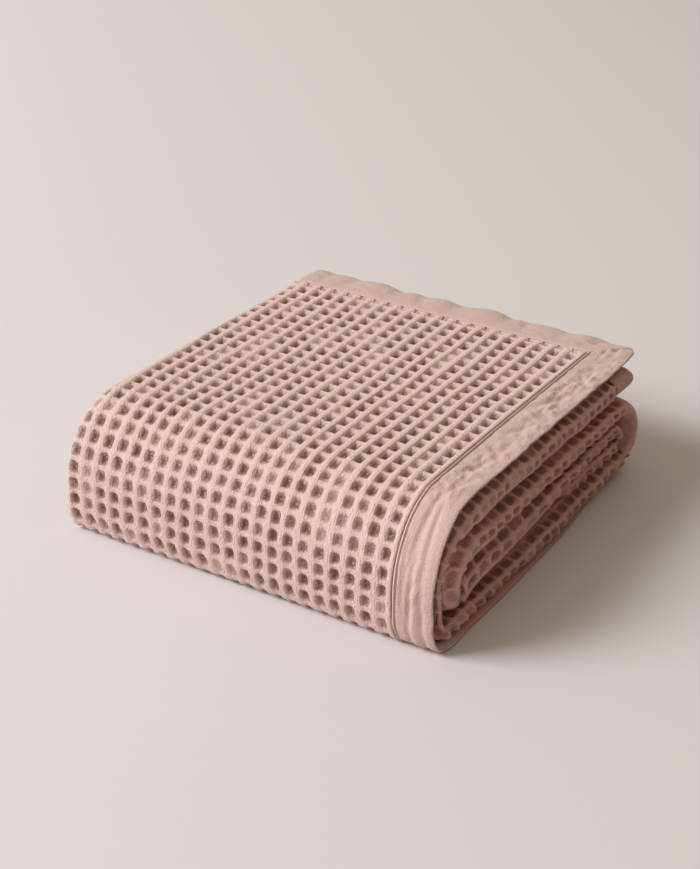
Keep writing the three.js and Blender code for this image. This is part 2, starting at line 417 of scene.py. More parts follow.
    def lag(self, station: Array, distance: Array) -> Array:
        """How far the left side and the folded-in layers lag behind layer a's free edge on the top tier.

        Args:
            station: stations across the cloth.
            distance: distances along it.

        Returns:
            The lags along the cloth.
        """
        top = self.start_of("tier 1")
        left = clamp01((station - Station.SEAM) / (Station.LEFT_FOLD - Station.SEAM))
        across = clamp01((station - Station.B) / (Station.RIGHT_FOLD - Station.B))
        back = clamp01((station - Station.C_SWELL) / (Station.C_EDGE - Station.C_SWELL))
        share = clamp01((distance - top) / (self.length - top))
        return (self.head_skew * left + self.skew * (across - self.lag_back * back)) * share

    def drawn(self, station: Array, distance: Array, x: Array) -> tuple[Array, Array]:
        """How far the start of tier 3 is drawn in at its fold, to tuck in behind the front turn.

        Args:
            station: stations across the cloth.
            distance: distances along it.
            x: X of the places.

        Returns:
            How far forwards and how far down.
        """
        start, middle, end = (self.start_of(f"tier 3 {part}") for part in ("front", "middle", "back"))
        outside = smooth(clamp01((x - self.recess) / (self.shown - self.recess)))
        forward = 1 - smooth(clamp01((distance - start) / (end - start)))
        ahead = clamp01((middle - distance) / (middle - start)) ** self.draw_power
        down = ahead * clamp01(station - Station.RIGHT_FOLD)
        return self.draw_forward * forward * outside, self.draw_down * down * outside

    def squared(self, y: Array, z: Array) -> tuple[Array, Array]:
        """Squares the turn at the bottom of the front, which the weight above presses flat.

        Args:
            y: Y of the places.
            z: Z of the places.

        Returns:
            Their new Y and Z.
        """
        radius = self.front_low + self.reach
        over, down = self.front + radius - y, radius - z
        inside = (over > 0) & (down > 0)
        longest = np.where(inside, np.maximum(over, down), 1.0)
        scale = np.where(inside, mix(1.0, np.hypot(over, down) / longest, self.front_square), 1.0)
        return self.front + radius - over * scale, radius - down * scale

    def slump(self, points: Array) -> Array:
        """The slumped shape of the stack, which leaves the floor face flat.

        Args:
            points: points of the straight stack.

        Returns:
            Where they come to lie.
        """
        x = points[..., 0]
        y, z = self.squared(points[..., 1], points[..., 2])
        backwards = smooth(clamp01((y - self.front) / (self.back - self.front)))
        lift = mix(self.front_lift, self.back_lift, backwards)
        wave = self.wave_height * np.sin(x / self.wave_across) * np.cos(y / self.wave_along)
        return np.stack([x, y, z * (1 + lift) + z / (self.tiers * self.tier) * wave], axis=-1)

    def place(self, station: Array, distance: Array) -> Array:
        """The middle of the cloth, before the stack slumps.

        Args:
            station: stations across the cloth.
            distance: distances along it.

        Returns:
            The points.
        """
        station, distance = np.broadcast_arrays(np.asarray(station, float), np.asarray(distance, float))
        roll = self.roll(distance - self.lag(station, distance))
        x, out = self.section(station, roll)
        y = roll["y"] - out * np.sin(roll["heading"])
        z = roll["z"] + out * np.cos(roll["heading"])
        forward, down = self.drawn(station, distance, x)
        return np.stack([x, y - forward, z - down], axis=-1)

    def outward(self, station: Array, distance: Array) -> Array:
        """Directions out of the cloth, towards the face that is outermost on layer a.

        Args:
            station: stations across the cloth.
            distance: distances along it.

        Returns:
            The unit vectors.
        """
        step, step_along = 0.02, 1.0
        inside = np.clip(station, step, Station.C_EDGE - step)
        across = self.place(inside + step, distance) - self.place(inside - step, distance)
        along = self.place(inside, distance + step_along) - self.place(inside, distance - step_along)
        normal = np.cross(along, across)
        return normal / np.linalg.norm(normal, axis=-1, keepdims=True)


# Node trees


class Value:
    """A socket of a node tree. Arithmetic on it adds Math nodes."""

    def __init__(self, graph: Graph, socket: bpy.types.NodeSocket) -> None:
        """Takes a socket of a graph's tree."""
        self.graph = graph
        self.socket = socket

    def __add__(self, other: Any) -> Value:
        """This plus another."""
        return self.graph.math("ADD", self, other)

    __radd__ = __add__

    def __sub__(self, other: Any) -> Value:
        """This minus another."""
        return self.graph.math("SUBTRACT", self, other)

    def __rsub__(self, other: Any) -> Value:
        """Another minus this."""
        return self.graph.math("SUBTRACT", other, self)

    def __mul__(self, other: Any) -> Value:
        """This times another."""
        return self.graph.math("MULTIPLY", self, other)

    __rmul__ = __mul__

    def __truediv__(self, other: Any) -> Value:
        """This divided by another."""
        return self.graph.math("DIVIDE", self, other)

    def __rtruediv__(self, other: Any) -> Value:
        """Another divided by this."""
        return self.graph.math("DIVIDE", other, self)

    def __neg__(self) -> Value:
        """This with the other sign."""
        return self.graph.math("MULTIPLY", self, -1.0)

    def from_crest(self) -> Value:
        """How far a coordinate is from the nearest whole number: 0 on it, 1 half way between two."""
        wrapped = self.graph.math("FRACT", self + 0.5)
        return self.graph.math("ABSOLUTE", wrapped - 0.5) * 2.0

    def eased(self, low: Any, high: Any) -> Value:
        """0 below low, 1 above high and eased between."""
        sockets = {"Value": self, "From Min": low, "From Max": high}
        return self.graph.add("ShaderNodeMapRange", {"interpolation_type": "SMOOTHSTEP"}, sockets)

    def ramp(self, low: Any, high: Any) -> Value:
        """0 below low, 1 above high and straight between."""
        return self.graph.add("ShaderNodeMapRange", None, {"Value": self, "From Min": low, "From Max": high})


class Graph:
    """Adds nodes to one tree."""

    def __init__(self, tree: bpy.types.NodeTree) -> None:
        """Takes the tree to add to."""
        self.tree = tree

    def node(self, kind: str, settings: Options = None, sockets: Options = None) -> bpy.types.Node:
        """Adds a node.

        Args:
            kind: the node's type.
            settings: its properties.
            sockets: its inputs by name or number, each a Value or a constant.

        Returns:
            The new node.
        """
        node = self.tree.nodes.new(kind)
        for key, value in (settings or {}).items():
            setattr(node, key, value)
        for key, value in (sockets or {}).items():
            if isinstance(value, Value):
                self.tree.links.new(value.socket, node.inputs[key])
            else:
                node.inputs[key].default_value = value
        return node

    def add(self, kind: str, settings: Options = None, sockets: Options = None, output: Any = 0) -> Value:
        """Adds a node and gives one of its outputs."""
        return Value(self, self.node(kind, settings, sockets).outputs[output])

    def math(self, operation: str, *values: Any) -> Value:
        """Adds a Math node."""
        return self.add("ShaderNodeMath", {"operation": operation}, dict(enumerate(values)))

    def vector(self, operation: str, *values: Any) -> Value:
        """Adds a Vector Math node between vectors."""
        return self.add("ShaderNodeVectorMath", {"operation": operation}, dict(enumerate(values)))

    def scaled(self, vector: Value, factor: Any) -> Value:
        """A vector times a factor."""
        return self.add("ShaderNodeVectorMath", {"operation": "SCALE"}, {0: vector, "Scale": factor})

    def parts(self, vector: Value) -> list[Value]:
        """X, Y and Z of a vector."""
        return [Value(self, part) for part in self.node("ShaderNodeSeparateXYZ", None, {0: vector}).outputs]

    def place(self, kind: str = "Object") -> Value:
        """Coordinates of the place that is shaded."""
        return self.add("ShaderNodeTexCoord", None, None, kind)

    def noise(self, vector: Value, scale: float, detail: float = 2.0) -> Value:
        """Noise from about 0 to 1."""
        return self.add("ShaderNodeTexNoise", None, {"Vector": vector, "Scale": scale, "Detail": detail})

    def attribute(self, name: str, output: str = "Fac") -> Value:
        """A value that the mesh carries."""
        return self.add("ShaderNodeAttribute", {"attribute_name": name}, None, output)

    def colours(self, low: Value | Colour, high: Value | Colour, factor: Value, blend: str = "MIX") -> Value:
        """Mixes two colours.

        Args:
            low: the first colour.
            high: the second colour.
            factor: how far the mix goes from the first to the second.
            blend: how the second colour is laid on the first.

        Returns:
            The mix.
        """
        first, second = (end if isinstance(end, Value) else (*end, 1.0) for end in (low, high))
        settings = {"data_type": "RGBA", "blend_type": blend}
        # The node's colours are its inputs 6 and 7 and its output 2
        return self.add("ShaderNodeMix", settings, {0: factor, 6: first, 7: second}, 2)

    def surface(self, sockets: dict[str, Any]) -> None:
        """Ends a material's tree with a principled surface."""
        shader = self.add("ShaderNodeBsdfPrincipled", None, sockets)
        self.node("ShaderNodeOutputMaterial", None, {"Surface": shader})


class GeometryTree(Graph):
    """A Geometry Nodes tree with named inputs, whose result replaces a piece's mesh."""

    def __init__(self, name: str, inputs: dict[str, str]) -> None:
        """Makes the tree.

        Args:
            name: its name.
            inputs: the socket type of each named input besides the geometry.
        """
        super().__init__(bpy.data.node_groups.new(name, "GeometryNodeTree"))
        face = self.tree.interface
        for way in ("INPUT", "OUTPUT"):
            face.new_socket("Geometry", in_out=way, socket_type="NodeSocketGeometry")
        self.keys: dict[str, str] = {}
        for label, kind in inputs.items():
            self.keys[label] = face.new_socket(label, in_out="INPUT", socket_type=kind).identifier
        self.source = self.node("NodeGroupInput")

    def given(self, label: str) -> Value:
        """The value of a named input."""
        return Value(self, self.source.outputs[label])

    def named(self, name: str, kind: str = "FLOAT") -> Value:
        """A value that the mesh carries."""
        return self.add("GeometryNodeInputNamedAttribute", {"data_type": kind}, {"Name": name})

    def finish(self, geometry: Value) -> None:
        """Ends the tree: instances are made real and take the material.

        Args:
            geometry: what the tree has made.
        """
        real = self.add("GeometryNodeRealizeInstances", None, {"Geometry": geometry})
        sockets = {"Geometry": real, "Material": self.given("Material")}
        dressed = self.add("GeometryNodeSetMaterial", None, sockets)
        self.node("NodeGroupOutput", None, {"Geometry": dressed})

    def apply(self, piece: bpy.types.Object, values: dict[str, Any]) -> None:
        """Runs the tree on a piece and keeps the resulting mesh.

        Args:
            piece: the piece.
            values: the value of each named input.
        """
        modifier = piece.modifiers.new(self.tree.name, "NODES")
        modifier.node_group = self.tree
        for label, value in values.items():
            modifier[self.keys[label]] = value
        graph = bpy.context.evaluated_depsgraph_get()
        mesh = bpy.data.meshes.new_from_object(
            piece.evaluated_get(graph), preserve_all_data_layers=True, depsgraph=graph
        )
        piece.modifiers.clear()
        piece.data = mesh


# Finishes


@dataclass(frozen=True)
class Relief:
    """Ribs and wells of the weave at a place on the cloth, for the mesh and for its shading.

    Ranges are shares of half a cell from the crest of a rib or of a beam, and heights are shares of the
    depth of the wells. On the outside of a fold the wells are round scoops, and where the cloth is taut
    they are rounded panes with a raised lip at both sides. A sway is how far noise shifts an outline.
    """

    depth: float = 5.1
    seed: float = 4.0
    # The ribs, and the beams that cross them
    rib: Pair = (0.36, 0.82)
    rib_sway: float = 0.06
    beam: Pair = (0.04, 0.92)
    beam_sway: float = 0.12
    beam_height: float = 0.88
    blend: float = 0.03
    # The scoops: size and roundness across and along, and the rise of the wall
    scoop: Pair = (0.84, 0.99)
    scoop_powers: Pair = (2.2, 4.5)
    scoop_wall: Pair = (0.1, 1.12)
    scoop_sway: float = 0.3
    # The panes, in the same way, and their lip
    pane: Pair = (0.66, 0.78)
    pane_powers: Pair = (3.0, 3.0)
    pane_wall: Pair = (0.1, 1.08)
    pane_sway: float = 1.2
    lip: float = 0.18
    lip_rise: Pair = (0.85, 1.15)
    lip_fall: Pair = (1.25, 2.1)
    lip_sides: Pair = (0.55, 0.9)
    taut_rise: float = 0.24
    # Unevenness from cell to cell: broad swelling, raggedness, and chance filling of the wells
    swelling_scale: float = 0.55
    swelling: float = 0.3
    ragged_scale: float = 2.6
    ragged: float = 0.22
    filled: float = 0.25
    filled_from: float = 0.7

    def sunk(self, graph: Graph, cell: Value, held: Value, opened: Value, taut: Value, seed: Any) -> Value:
        """How far the cloth sinks below its ribs, as a share of the depth of the wells.

        Args:
            graph: the tree to add to.
            cell: the place in cells, across and along.
            held: how far the wells are held up.
            opened: how far they are pulled open by a fold.
            taut: how far the cloth is stretched.
            seed: what the chances are drawn from.

        Returns:
            The share.
        """
        across, along, _ = graph.parts(cell)
        shift = graph.add("ShaderNodeCombineXYZ", None, {2: seed})
        spot = graph.vector("ADD", cell, shift)
        swelling = graph.noise(spot, self.swelling_scale, 1.0) - 0.5
        ragged = graph.noise(spot, self.ragged_scale) - 0.5
        flat = graph.add("ShaderNodeCombineXYZ", None, {0: across, 1: along})
        well = graph.vector("ADD", graph.vector("FLOOR", flat), shift)
        chance = graph.add("ShaderNodeTexWhiteNoise", None, {"Vector": well})
        u, v = across.from_crest(), along.from_crest()
        rib = 1.0 - (u - swelling * self.rib_sway).ramp(*self.rib)
        beam = (1.0 - (v - ragged * self.beam_sway).ramp(*self.beam)) * self.beam_height
        square = graph.math("SMOOTH_MAX", rib, beam, self.blend)
        square = square + (self.frame(graph, u, v, ragged) - square) * taut
        ring = self.ring(graph, u, v, self.scoop, self.scoop_powers)
        scoop = (ring + ragged * self.scoop_sway).eased(*self.scoop_wall)
        top = square + (scoop - square) * opened
        height = graph.math("MINIMUM", top + held, 1.0)
        filled = (chance.eased(self.filled_from, 1.0) + chance) * self.filled
        hollow = graph.math("MAXIMUM", self.beam_height - height, 0.0)
        down = (1.0 - height) * (1.0 + swelling * self.swelling)
        down = down - hollow * filled - ragged * (1.0 - rib) * self.ragged
        return down * (1.0 - taut * self.taut_rise)

    def frame(self, graph: Graph, u: Value, v: Value, ragged: Value) -> Value:
        """Height of the flat frame round a pane, with a lip along its two sides.

        Args:
            graph: the tree to add to.
            u: how far the place is from the nearest rib.
            v: how far it is from the nearest beam.
            ragged: noise that shifts the pane's outline.

        Returns:
            The height.
        """
        ring = self.ring(graph, u, v, self.pane, self.pane_powers)
        beside = ((1.0 - u) / self.pane[0]).eased(*self.lip_sides)
        lip = ring.eased(*self.lip_rise) * (1.0 - ring.eased(*self.lip_fall)) * beside
        wall = (ring + ragged * self.pane_sway).eased(*self.pane_wall)
        return wall * (1.0 - self.lip) + lip * self.lip

    @staticmethod
    def ring(graph: Graph, u: Value, v: Value, size: Pair, powers: Pair) -> Value:
        """How far out of the middle of a rounded well a place lies, with 1 on its outline.

        Args:
            graph: the tree to add to.
            u: how far the place is from the nearest rib.
            v: how far it is from the nearest beam.
            size: half the well's size across and along.
            powers: how square it is across and along.

        Returns:
            How far out.
        """
        across = graph.math("POWER", (1.0 - u) / size[0], powers[0])
        return across + graph.math("POWER", (1.0 - v) / size[1], powers[1])


@dataclass(frozen=True)
class LinenFinish:
    """Woven linen: its colours with painted shade in the wells and on the folds, its threads and how rough it
    looks.

    A range is that of the noise or the depth over which something sets in. A share is that on the ribs,
    and what the depth of the wells adds to it.
    """

    name: str
    light: Colour
    # Painted shade for the wells, which is also the colour of the dark pores
    painted_shade_and_pores: Colour = (0.27, 0.14, 0.102)
    lint: Colour = (0.84, 0.65, 0.57)
    # A painted warm shade tint for the shaded folds, which stands in for warm bounce light
    painted_warm_shade: Colour = (0.95, 0.73, 0.69)
    relief: Relief | None = None
    # How far painted shade darkens the wells, and how much less it does on the folds
    painted_shade_range: Pair = (0.05, 0.9)
    fold_lightening: float = 0.25
    # Slubs in the yarn
    slub_scale: float = 260.0
    slub_detail: float = 3.0
    slub_range: Pair = (0.3, 0.75)
    slub_strength: float = 0.3
    slub_value: float = 0.8
    slub_saturation: float = 1.05
    # Specks of lint, dimmed on the folds as painted shade, and dark pores that gather deep in the wells as
    # painted shade
    speck_scale: float = 470.0
    lint_range: Pair = (0.58, 0.7)
    lint_share: Pair = (0.12, 0.6)
    lint_shaded_on_folds: float = 0.75
    pore_range: Pair = (0.3, 0.42)
    pore_share: Pair = (0.06, 0.55)
    # Threads and grain
    thread_scale: float = 0.9
    thread_stretch: float = 0.22
    thread_height: float = 0.6
    grain: float = 620.0
    grain_share: Pair = (0.8, 1.6)
    bump: float = 0.0009
    bump_strength: float = 0.9
    # Shine
    roughness: float = 0.92
    specular: float = 0.2
    sheen: float = 0.18
    sheen_roughness: float = 0.5

    def material(self) -> bpy.types.Material:
        """Makes the material."""
        material, graph = new_material(self.name)
        place = graph.place()
        meshed = graph.attribute("sunk")
        well = meshed if self.relief is None else self.well(graph, self.relief)
        height = self.threads(graph, place, well) * self.bump
        if self.relief is not None:
            # The bump adds what the mesh is too coarse for, except on the folds
            unfolded = 1.0 - graph.attribute("open")
            height = height - (well - meshed) * unfolded * (self.relief.depth * MM)
        bump = {"Strength": self.bump_strength, "Distance": 1.0, "Height": height}
        graph.surface(
            {
                "Base Color": self.tint(graph, place, well),
                "Roughness": self.roughness,
                "Specular IOR Level": self.specular,
                "Sheen Weight": self.sheen,
                "Sheen Roughness": self.sheen_roughness,
                "Normal": graph.add("ShaderNodeBump", None, bump),
            }
        )
        return material

    @staticmethod
    def well(graph: Graph, relief: Relief) -> Value:
        """How far the weave sinks at the place that is shaded."""
        held, opened, taut = (graph.attribute(name) for name in ("held", "open", "taut"))
        return relief.sunk(graph, graph.attribute("cell", "Vector"), held, opened, taut, relief.seed)

    def tint(self, graph: Graph, place: Value, well: Value) -> Value:
        """The colour: painted shade in the wells, a painted warm shade tint on the shaded folds, and mottled
        by slubs in the yarn.

        Args:
            graph: the tree to add to.
            place: the place that is shaded.
            well: how far the weave sinks there.

        Returns:
            The colour.
        """
        fold = graph.attribute("fold")
        # Painted shade darkens the wells, with less of it on the folds
        depth = well.eased(*self.painted_shade_range) * (1.0 - fold * self.fold_lightening)
        # The painted warm shade tint is multiplied in where the folds lie in shade
        base = graph.colours(graph.colours(self.light, self.painted_shade_and_pores, depth), self.painted_warm_shade, fold, "MULTIPLY")
        slub = graph.noise(place, self.slub_scale, self.slub_detail).eased(*self.slub_range)
        darker = {"Value": self.slub_value, "Saturation": self.slub_saturation, "Color": base}
        dark = graph.add("ShaderNodeHueSaturation", None, darker)
        worn = graph.colours(base, dark, slub * self.slub_strength)
        speck = graph.noise(place, self.speck_scale, 1.0)
        lint = speck.eased(*self.lint_range) * (self.lint_share[0] + well * self.lint_share[1])
        # Lint specks are dimmed on the folds as painted shade
        pale = graph.colours(worn, self.lint, lint * (1.0 - fold * self.lint_shaded_on_folds))
        # Dark pores gather deep in the wells as painted shade
        pore = (1.0 - speck.eased(*self.pore_range)) * (self.pore_share[0] + well * self.pore_share[1])
        return graph.colours(pale, self.painted_shade_and_pores, pore)

    def threads(self, graph: Graph, place: Value, well: Value) -> Value:
        """The height of the threads: two crossing sets, broken up by noise.

        Args:
            graph: the tree to add to.
            place: the place that is shaded.
            well: how far the weave sinks there.

        Returns:
            The height.
        """
        flat = graph.attribute("weave", "Vector")
        warp = graph.vector("MULTIPLY", flat, (1.0, self.thread_stretch, 1.0))
        weft = graph.vector("MULTIPLY", flat, (self.thread_stretch, 1.0, 1.0))
        crossing = graph.noise(warp, self.thread_scale, 1.0) + graph.noise(weft, self.thread_scale, 1.0)
        grain = graph.noise(place, self.grain) * (self.grain_share[0] + well * self.grain_share[1])
        return crossing * self.thread_height + grain


def new_material(name: str) -> tuple[bpy.types.Material, Graph]:
    """Makes a material.

    Args:
        name: its name.

    Returns:
        The material, and the graph of its empty node tree.
    """
    material = bpy.data.materials.new(name)
    material.use_nodes = True
    material.node_tree.nodes.clear()
    return material, Graph(material.node_tree)


def make_piece(
    name: str, points: Array, polygons: Sequence[Sequence[int]], layers: dict[str, Array]
) -> bpy.types.Object:
    """Makes a smooth-shaded closed mesh.

    Args:
        name: the piece's name.
        points: its corners in millimetres.
        polygons: its faces by corner number.
        layers: values of each corner, as numbers or vectors.

    Returns:
        The piece, linked to the scene.
    """
    mesh = bpy.data.meshes.new(name)
    mesh.from_pydata((points * MM).tolist(), [], polygons)
    for key, values in layers.items():
        kind, slot = ("FLOAT", "value") if values.ndim == 1 else ("FLOAT_VECTOR", "vector")
        mesh.attributes.new(key, kind, "POINT").data.foreach_set(slot, values.astype(np.float32).ravel())
    work = bmesh.new()
    work.from_mesh(mesh)
    bmesh.ops.recalc_face_normals(work, faces=work.faces)
    open_edges = sum(not edge.is_manifold for edge in work.edges)
    if open_edges:
        log.warning("%s has %d open edges", name, open_edges)
    work.to_mesh(mesh)
    work.free()
    mesh.polygons.foreach_set("use_smooth", np.ones(len(mesh.polygons), bool))
    piece = bpy.data.objects.new(name, mesh)
    bpy.context.scene.collection.objects.link(piece)
    return piece


# The waffle panel


class Face(Enum):
    """The two faces of the waffle cloth: the outer one is outermost on layer a."""

    OUTER = 1
    INNER = -1


class Way(Enum):
    """The two ways over the cloth."""

    ACROSS = "across"
    ALONG = "along"


class Fineness(Enum):
    """How finely the cells of a block are divided: at which shares of a cell, across and along.

    Where there are none, it is divided at every other cell, and along the cloth at the roll's corners.
    """

    HIDDEN = ((), ())
    RIM = ((0.0,), ())
    COARSE = ((0.0, 0.5), (0.0, 0.5))
    PLAIN = ((0.0, 0.2, 0.5, 0.8), (0.0, 0.25, 0.5, 0.75))
    MEDIUM = ((0.0, 0.18, 0.34, 0.5, 0.66, 0.82), (0.0, 0.1, 0.3, 0.5, 0.7, 0.9))
    FOLD = ((0.0, 0.17, 0.3, 0.42, 0.58, 0.7, 0.83), (0.0, 0.06, 0.17, 0.32, 0.5, 0.68, 0.83, 0.94))
    FINE = ((0.0, 0.16, 0.2, 0.3, 0.41, 0.59, 0.7, 0.8, 0.84), (0.0, 0.05, 0.2, 0.36, 0.5, 0.64, 0.8, 0.95))
    TAUT = ((0.0, 0.16, 0.2, 0.3, 0.41, 0.59, 0.7, 0.8, 0.84), (0.0, 0.15, 0.2, 0.34, 0.5, 0.66, 0.8, 0.85))


@dataclass(frozen=True)
class Block:
    """A rectangle of one face of the panel, in cells, and how finely it is divided."""

    face: Face
    across: Pair
    along: Pair
    cells: Fineness


@dataclass(frozen=True)
class Weave:
    """Sizes of the waffle weave: the cell in millimetres, and the rest in cells or shares."""

    across: float = 14.0
    along: float = 14.8
    seam_cell: float = -0.15
    head_cell: float = 0.42
    fold_cells: float = 1.25
    # How far its ribs wander: in short ripples, in long sways, and crumpled on the fold
    wander: float = 0.1
    ripple: Pair = (2.3, 2.9)
    ripple_lane: float = 7.0
    sway: Pair = (6.0, 7.0)
    sway_share: float = 0.7
    crumples_per_cell: Pair = (0.8, 0.7)
    crumple_lane: float = 3.0
    seeds: tuple[int, int] = (11, 12)


@dataclass
class WafflePanel:
    """The waffle-weave panel as one closed sheet, finer where it shows.

    A place on it is a face and a cell across and along. Shares of the wells' depth are from 0 to 1.
    """

    cloth: FoldedCloth
    weave: Weave
    relief: Relief
    # Cells across at which its zones end, and how far the right-hand fold reaches and shifts at its apex
    left_side: float = 20.0
    hidden_left: float = 21.5
    face_end: float = 24.0
    apex: float = 45.0
    last: float = 66.0
    fold_reach: float = 2.0
    fold_shift: float = 0.42
    # Millimetres past the back and the front at which blocks end, or before them if less than 0
    core_past: float = -30.0
    back_past: float = 20.0
    floor_past: float = -15.0
    # How finely the sheet is measured and divided
    samples: int = 2000
    fold_samples: int = 33
    facet: float = 15.0
    digits: int = 4
    end_gap: float = 0.05
    least_gap: float = 0.04
    # What keeps the threads of its two faces from being alike
    faces_apart: float = 50.0
    # How far wells are held up: beside the seams, below the fold's apex, on the front lobe, round the back
    seam_hold: float = 0.8
    seam_reach: float = 0.3
    pits: float = 0.1
    pit_spread: float = 0.6
    pit_from: float = 0.1
    pit_fade: float = 0.3
    lobe: float = 0.4
    lobe_fade: float = 12.0
    back_wrap: float = 0.75
    back_fade: float = 20.0
    # The groove at the head end
    head_notch: float = 3.4
    head_groove: float = 0.8
    groove_width: float = 0.1
    # How taut the cloth is over the front, and the rows by which that passes the bend
    tautness: float = 0.6
    taut_fade: float = 8.0
    taut_below: float = 6.0
    taut_above: float = 3.0
    # Millimetres: width of layers a and b, what lies beside the fold and where the hidden part fades in
    a_width: float = 300.0
    b_width: float = 290.0
    beside_fold: float = 60.0
    hidden_fade: float = 100.0

    def __post_init__(self) -> None:
        """Counts the rows of cells, which the bends stretch on the outside of layer a."""
        cloth, weave = self.cloth, self.weave
        self.foot = cloth.border + cloth.seam
        self.head = cloth.length - self.foot
        self.distances = np.arange(self.foot, self.head + TINY, (self.head - self.foot) / self.samples)
        self.drift = tuple(SoftNoise(seed) for seed in weave.seeds)
        stretch = 1 + cloth.reach * cloth.table["bend"][cloth.row_of(self.distances)]
        cells = running((stretch[1:] + stretch[:-1]) / 2 * np.diff(self.distances)) / weave.along
        self.last_row = math.floor(cells[-1]) + weave.head_cell
        self.cells = cells - cells[-1] + self.last_row
        self.first_row = float(self.cells[0])

    def row_at(self, name: str, past: float = 0.0) -> int:
        """The whole row nearest to the start of a named row of the roll on layer a."""
        return round(float(np.interp(self.cloth.start_of(name) + past, self.distances, self.cells)))

    def blocks(self) -> list[Block]:
        """The panel's two faces, cut into blocks that are finest where the weave shows."""
        first, last = self.first_row, self.last_row
        core, back = self.row_at("back top", self.core_past), self.row_at("tier 5", self.back_past)
        floor, bend = self.row_at("front low", self.floor_past), self.row_at("tier 1") - 1
        seam, side, end = self.weave.seam_cell, self.left_side, self.face_end
        near, far = self.apex - self.fold_reach, self.apex + self.fold_reach
        return [
            Block(Face.OUTER, (seam, end), (bend, last), Fineness.FINE),
            Block(Face.OUTER, (seam, end), (floor, bend), Fineness.TAUT),
            Block(Face.OUTER, (seam, side), (back, floor), Fineness.COARSE),
            Block(Face.OUTER, (side, end), (back, floor), Fineness.PLAIN),
            Block(Face.OUTER, (seam, end), (core, back), Fineness.MEDIUM),
            Block(Face.OUTER, (seam, side), (first, core), Fineness.HIDDEN),
            Block(Face.OUTER, (side, end), (first, core), Fineness.PLAIN),
            Block(Face.OUTER, (end, near), (first, last), Fineness.HIDDEN),
            Block(Face.OUTER, (near, far), (first, last), Fineness.RIM),
            Block(Face.OUTER, (far, self.last), (first, last), Fineness.HIDDEN),
            Block(Face.INNER, (seam, side), (first, last), Fineness.HIDDEN),
            Block(Face.INNER, (side, end), (first, last), Fineness.RIM),
            Block(Face.INNER, (end, near), (first, last), Fineness.HIDDEN),
            Block(Face.INNER, (near, far), (first, last), Fineness.FOLD),
            Block(Face.INNER, (far, self.last), (first, last), Fineness.HIDDEN),
        ]

    def corner_rows(self) -> list[float]:
        """Rows at which the hidden layers are faceted round the roll's corners."""
        marks = []
        for row, at in zip(self.cloth.rows, self.cloth.table["at"]):
            if row.turn:
                steps = max(2, round(row.turn / self.facet))
                marks += [at + row.length * k / steps for k in range(steps + 1)]
        share = (np.array(marks) - self.foot) / (self.head - self.foot)
        return [round(float(v), self.digits) for v in mix(self.first_row, self.last_row, share)]

    def lines(self, span: Pair, shares: Sequence[float], extra: Iterable[float] = ()) -> list[float]:
        """Coordinates at which a block is divided.

        Args:
            span: where the block begins and ends.
            shares: shares of a cell at which its cells are divided.
            extra: further coordinates.

        Returns:
            The coordinates in order, with both ends.
        """
        low, high = span
        cells = range(math.floor(low), math.ceil(high))
        marks = [k + share for k in cells for share in shares] or [k for k in cells if k % 2 == 0]
        first, last = low + self.end_gap, high - self.end_gap
        marks = sorted({round(m, self.digits) for m in [*marks, *extra] if first < m < last})
        kept = [m for m, after in zip(marks, [*marks[1:], high + 1]) if after - m > self.least_gap]
        return [low, *kept, high]

    def build(self) -> bpy.types.Object:
        """Makes the plain sheet with the values that the relief needs."""
        number: Numbers = {}
        polygons: list[list[int]] = []
        corners = self.corner_rows()
        ruled = []
        marks: dict[tuple[Face, Way, float], set[float]] = {}
        for block in self.blocks():
            across_shares, along_shares = block.cells.value
            across = self.lines(block.across, across_shares)
            along = self.lines(block.along, along_shares, () if along_shares else corners)
            ruled.append((block.face, across, along))
            for u in block.across:
                marks.setdefault((block.face, Way.ACROSS, u), set()).update(along)
            for v in block.along:
                marks.setdefault((block.face, Way.ALONG, v), set()).update(across)
        sides = {key: sorted(values) for key, values in marks.items()}
        for face, across, along in ruled:
            polygons += self.tiles(face, across, along, sides, number)
        polygons += self.rim(sides, number)
        places = np.array(list(number))
        points, out = self.points(places)
        cells = places[:, [1, 2, 0]]
        weave = cells * (self.weave.across, self.weave.along, self.faces_apart)
        opened = self.opened(places)
        # fold marks the shaded outside of the right-hand fold, which takes the painted warm shade tint
        layers = {"cell": cells, "out": out, "weave": weave, "open": opened, "fold": opened}
        layers |= {"held": self.held(places), "taut": self.taut(places)}
        return make_piece("waffle_cloth", points, polygons, layers)

    def held(self, places: Array) -> Array:
        """How far wells are held up: beside the seams and on the fold, but not in the groove at the head end.

        Args:
            places: face, cell across and cell along of each corner.

        Returns:
            The shares of their depth, which are less than 0 in the groove.
        """
        _, across, along = places.T
        to_head = self.last_row - along
        beside = np.minimum(across - self.weave.seam_cell, self.last - across)
        beside = np.minimum(np.minimum(beside, along - self.first_row), to_head * self.head_notch)
        seam = self.seam_hold * clamp01(1 - beside / self.seam_reach)
        groove = self.head_groove * self.opened(places) * clamp01(1 - to_head / self.groove_width)
        return np.maximum(seam, self.held_on_fold(places)) * (1 - clamp01(groove)) - groove

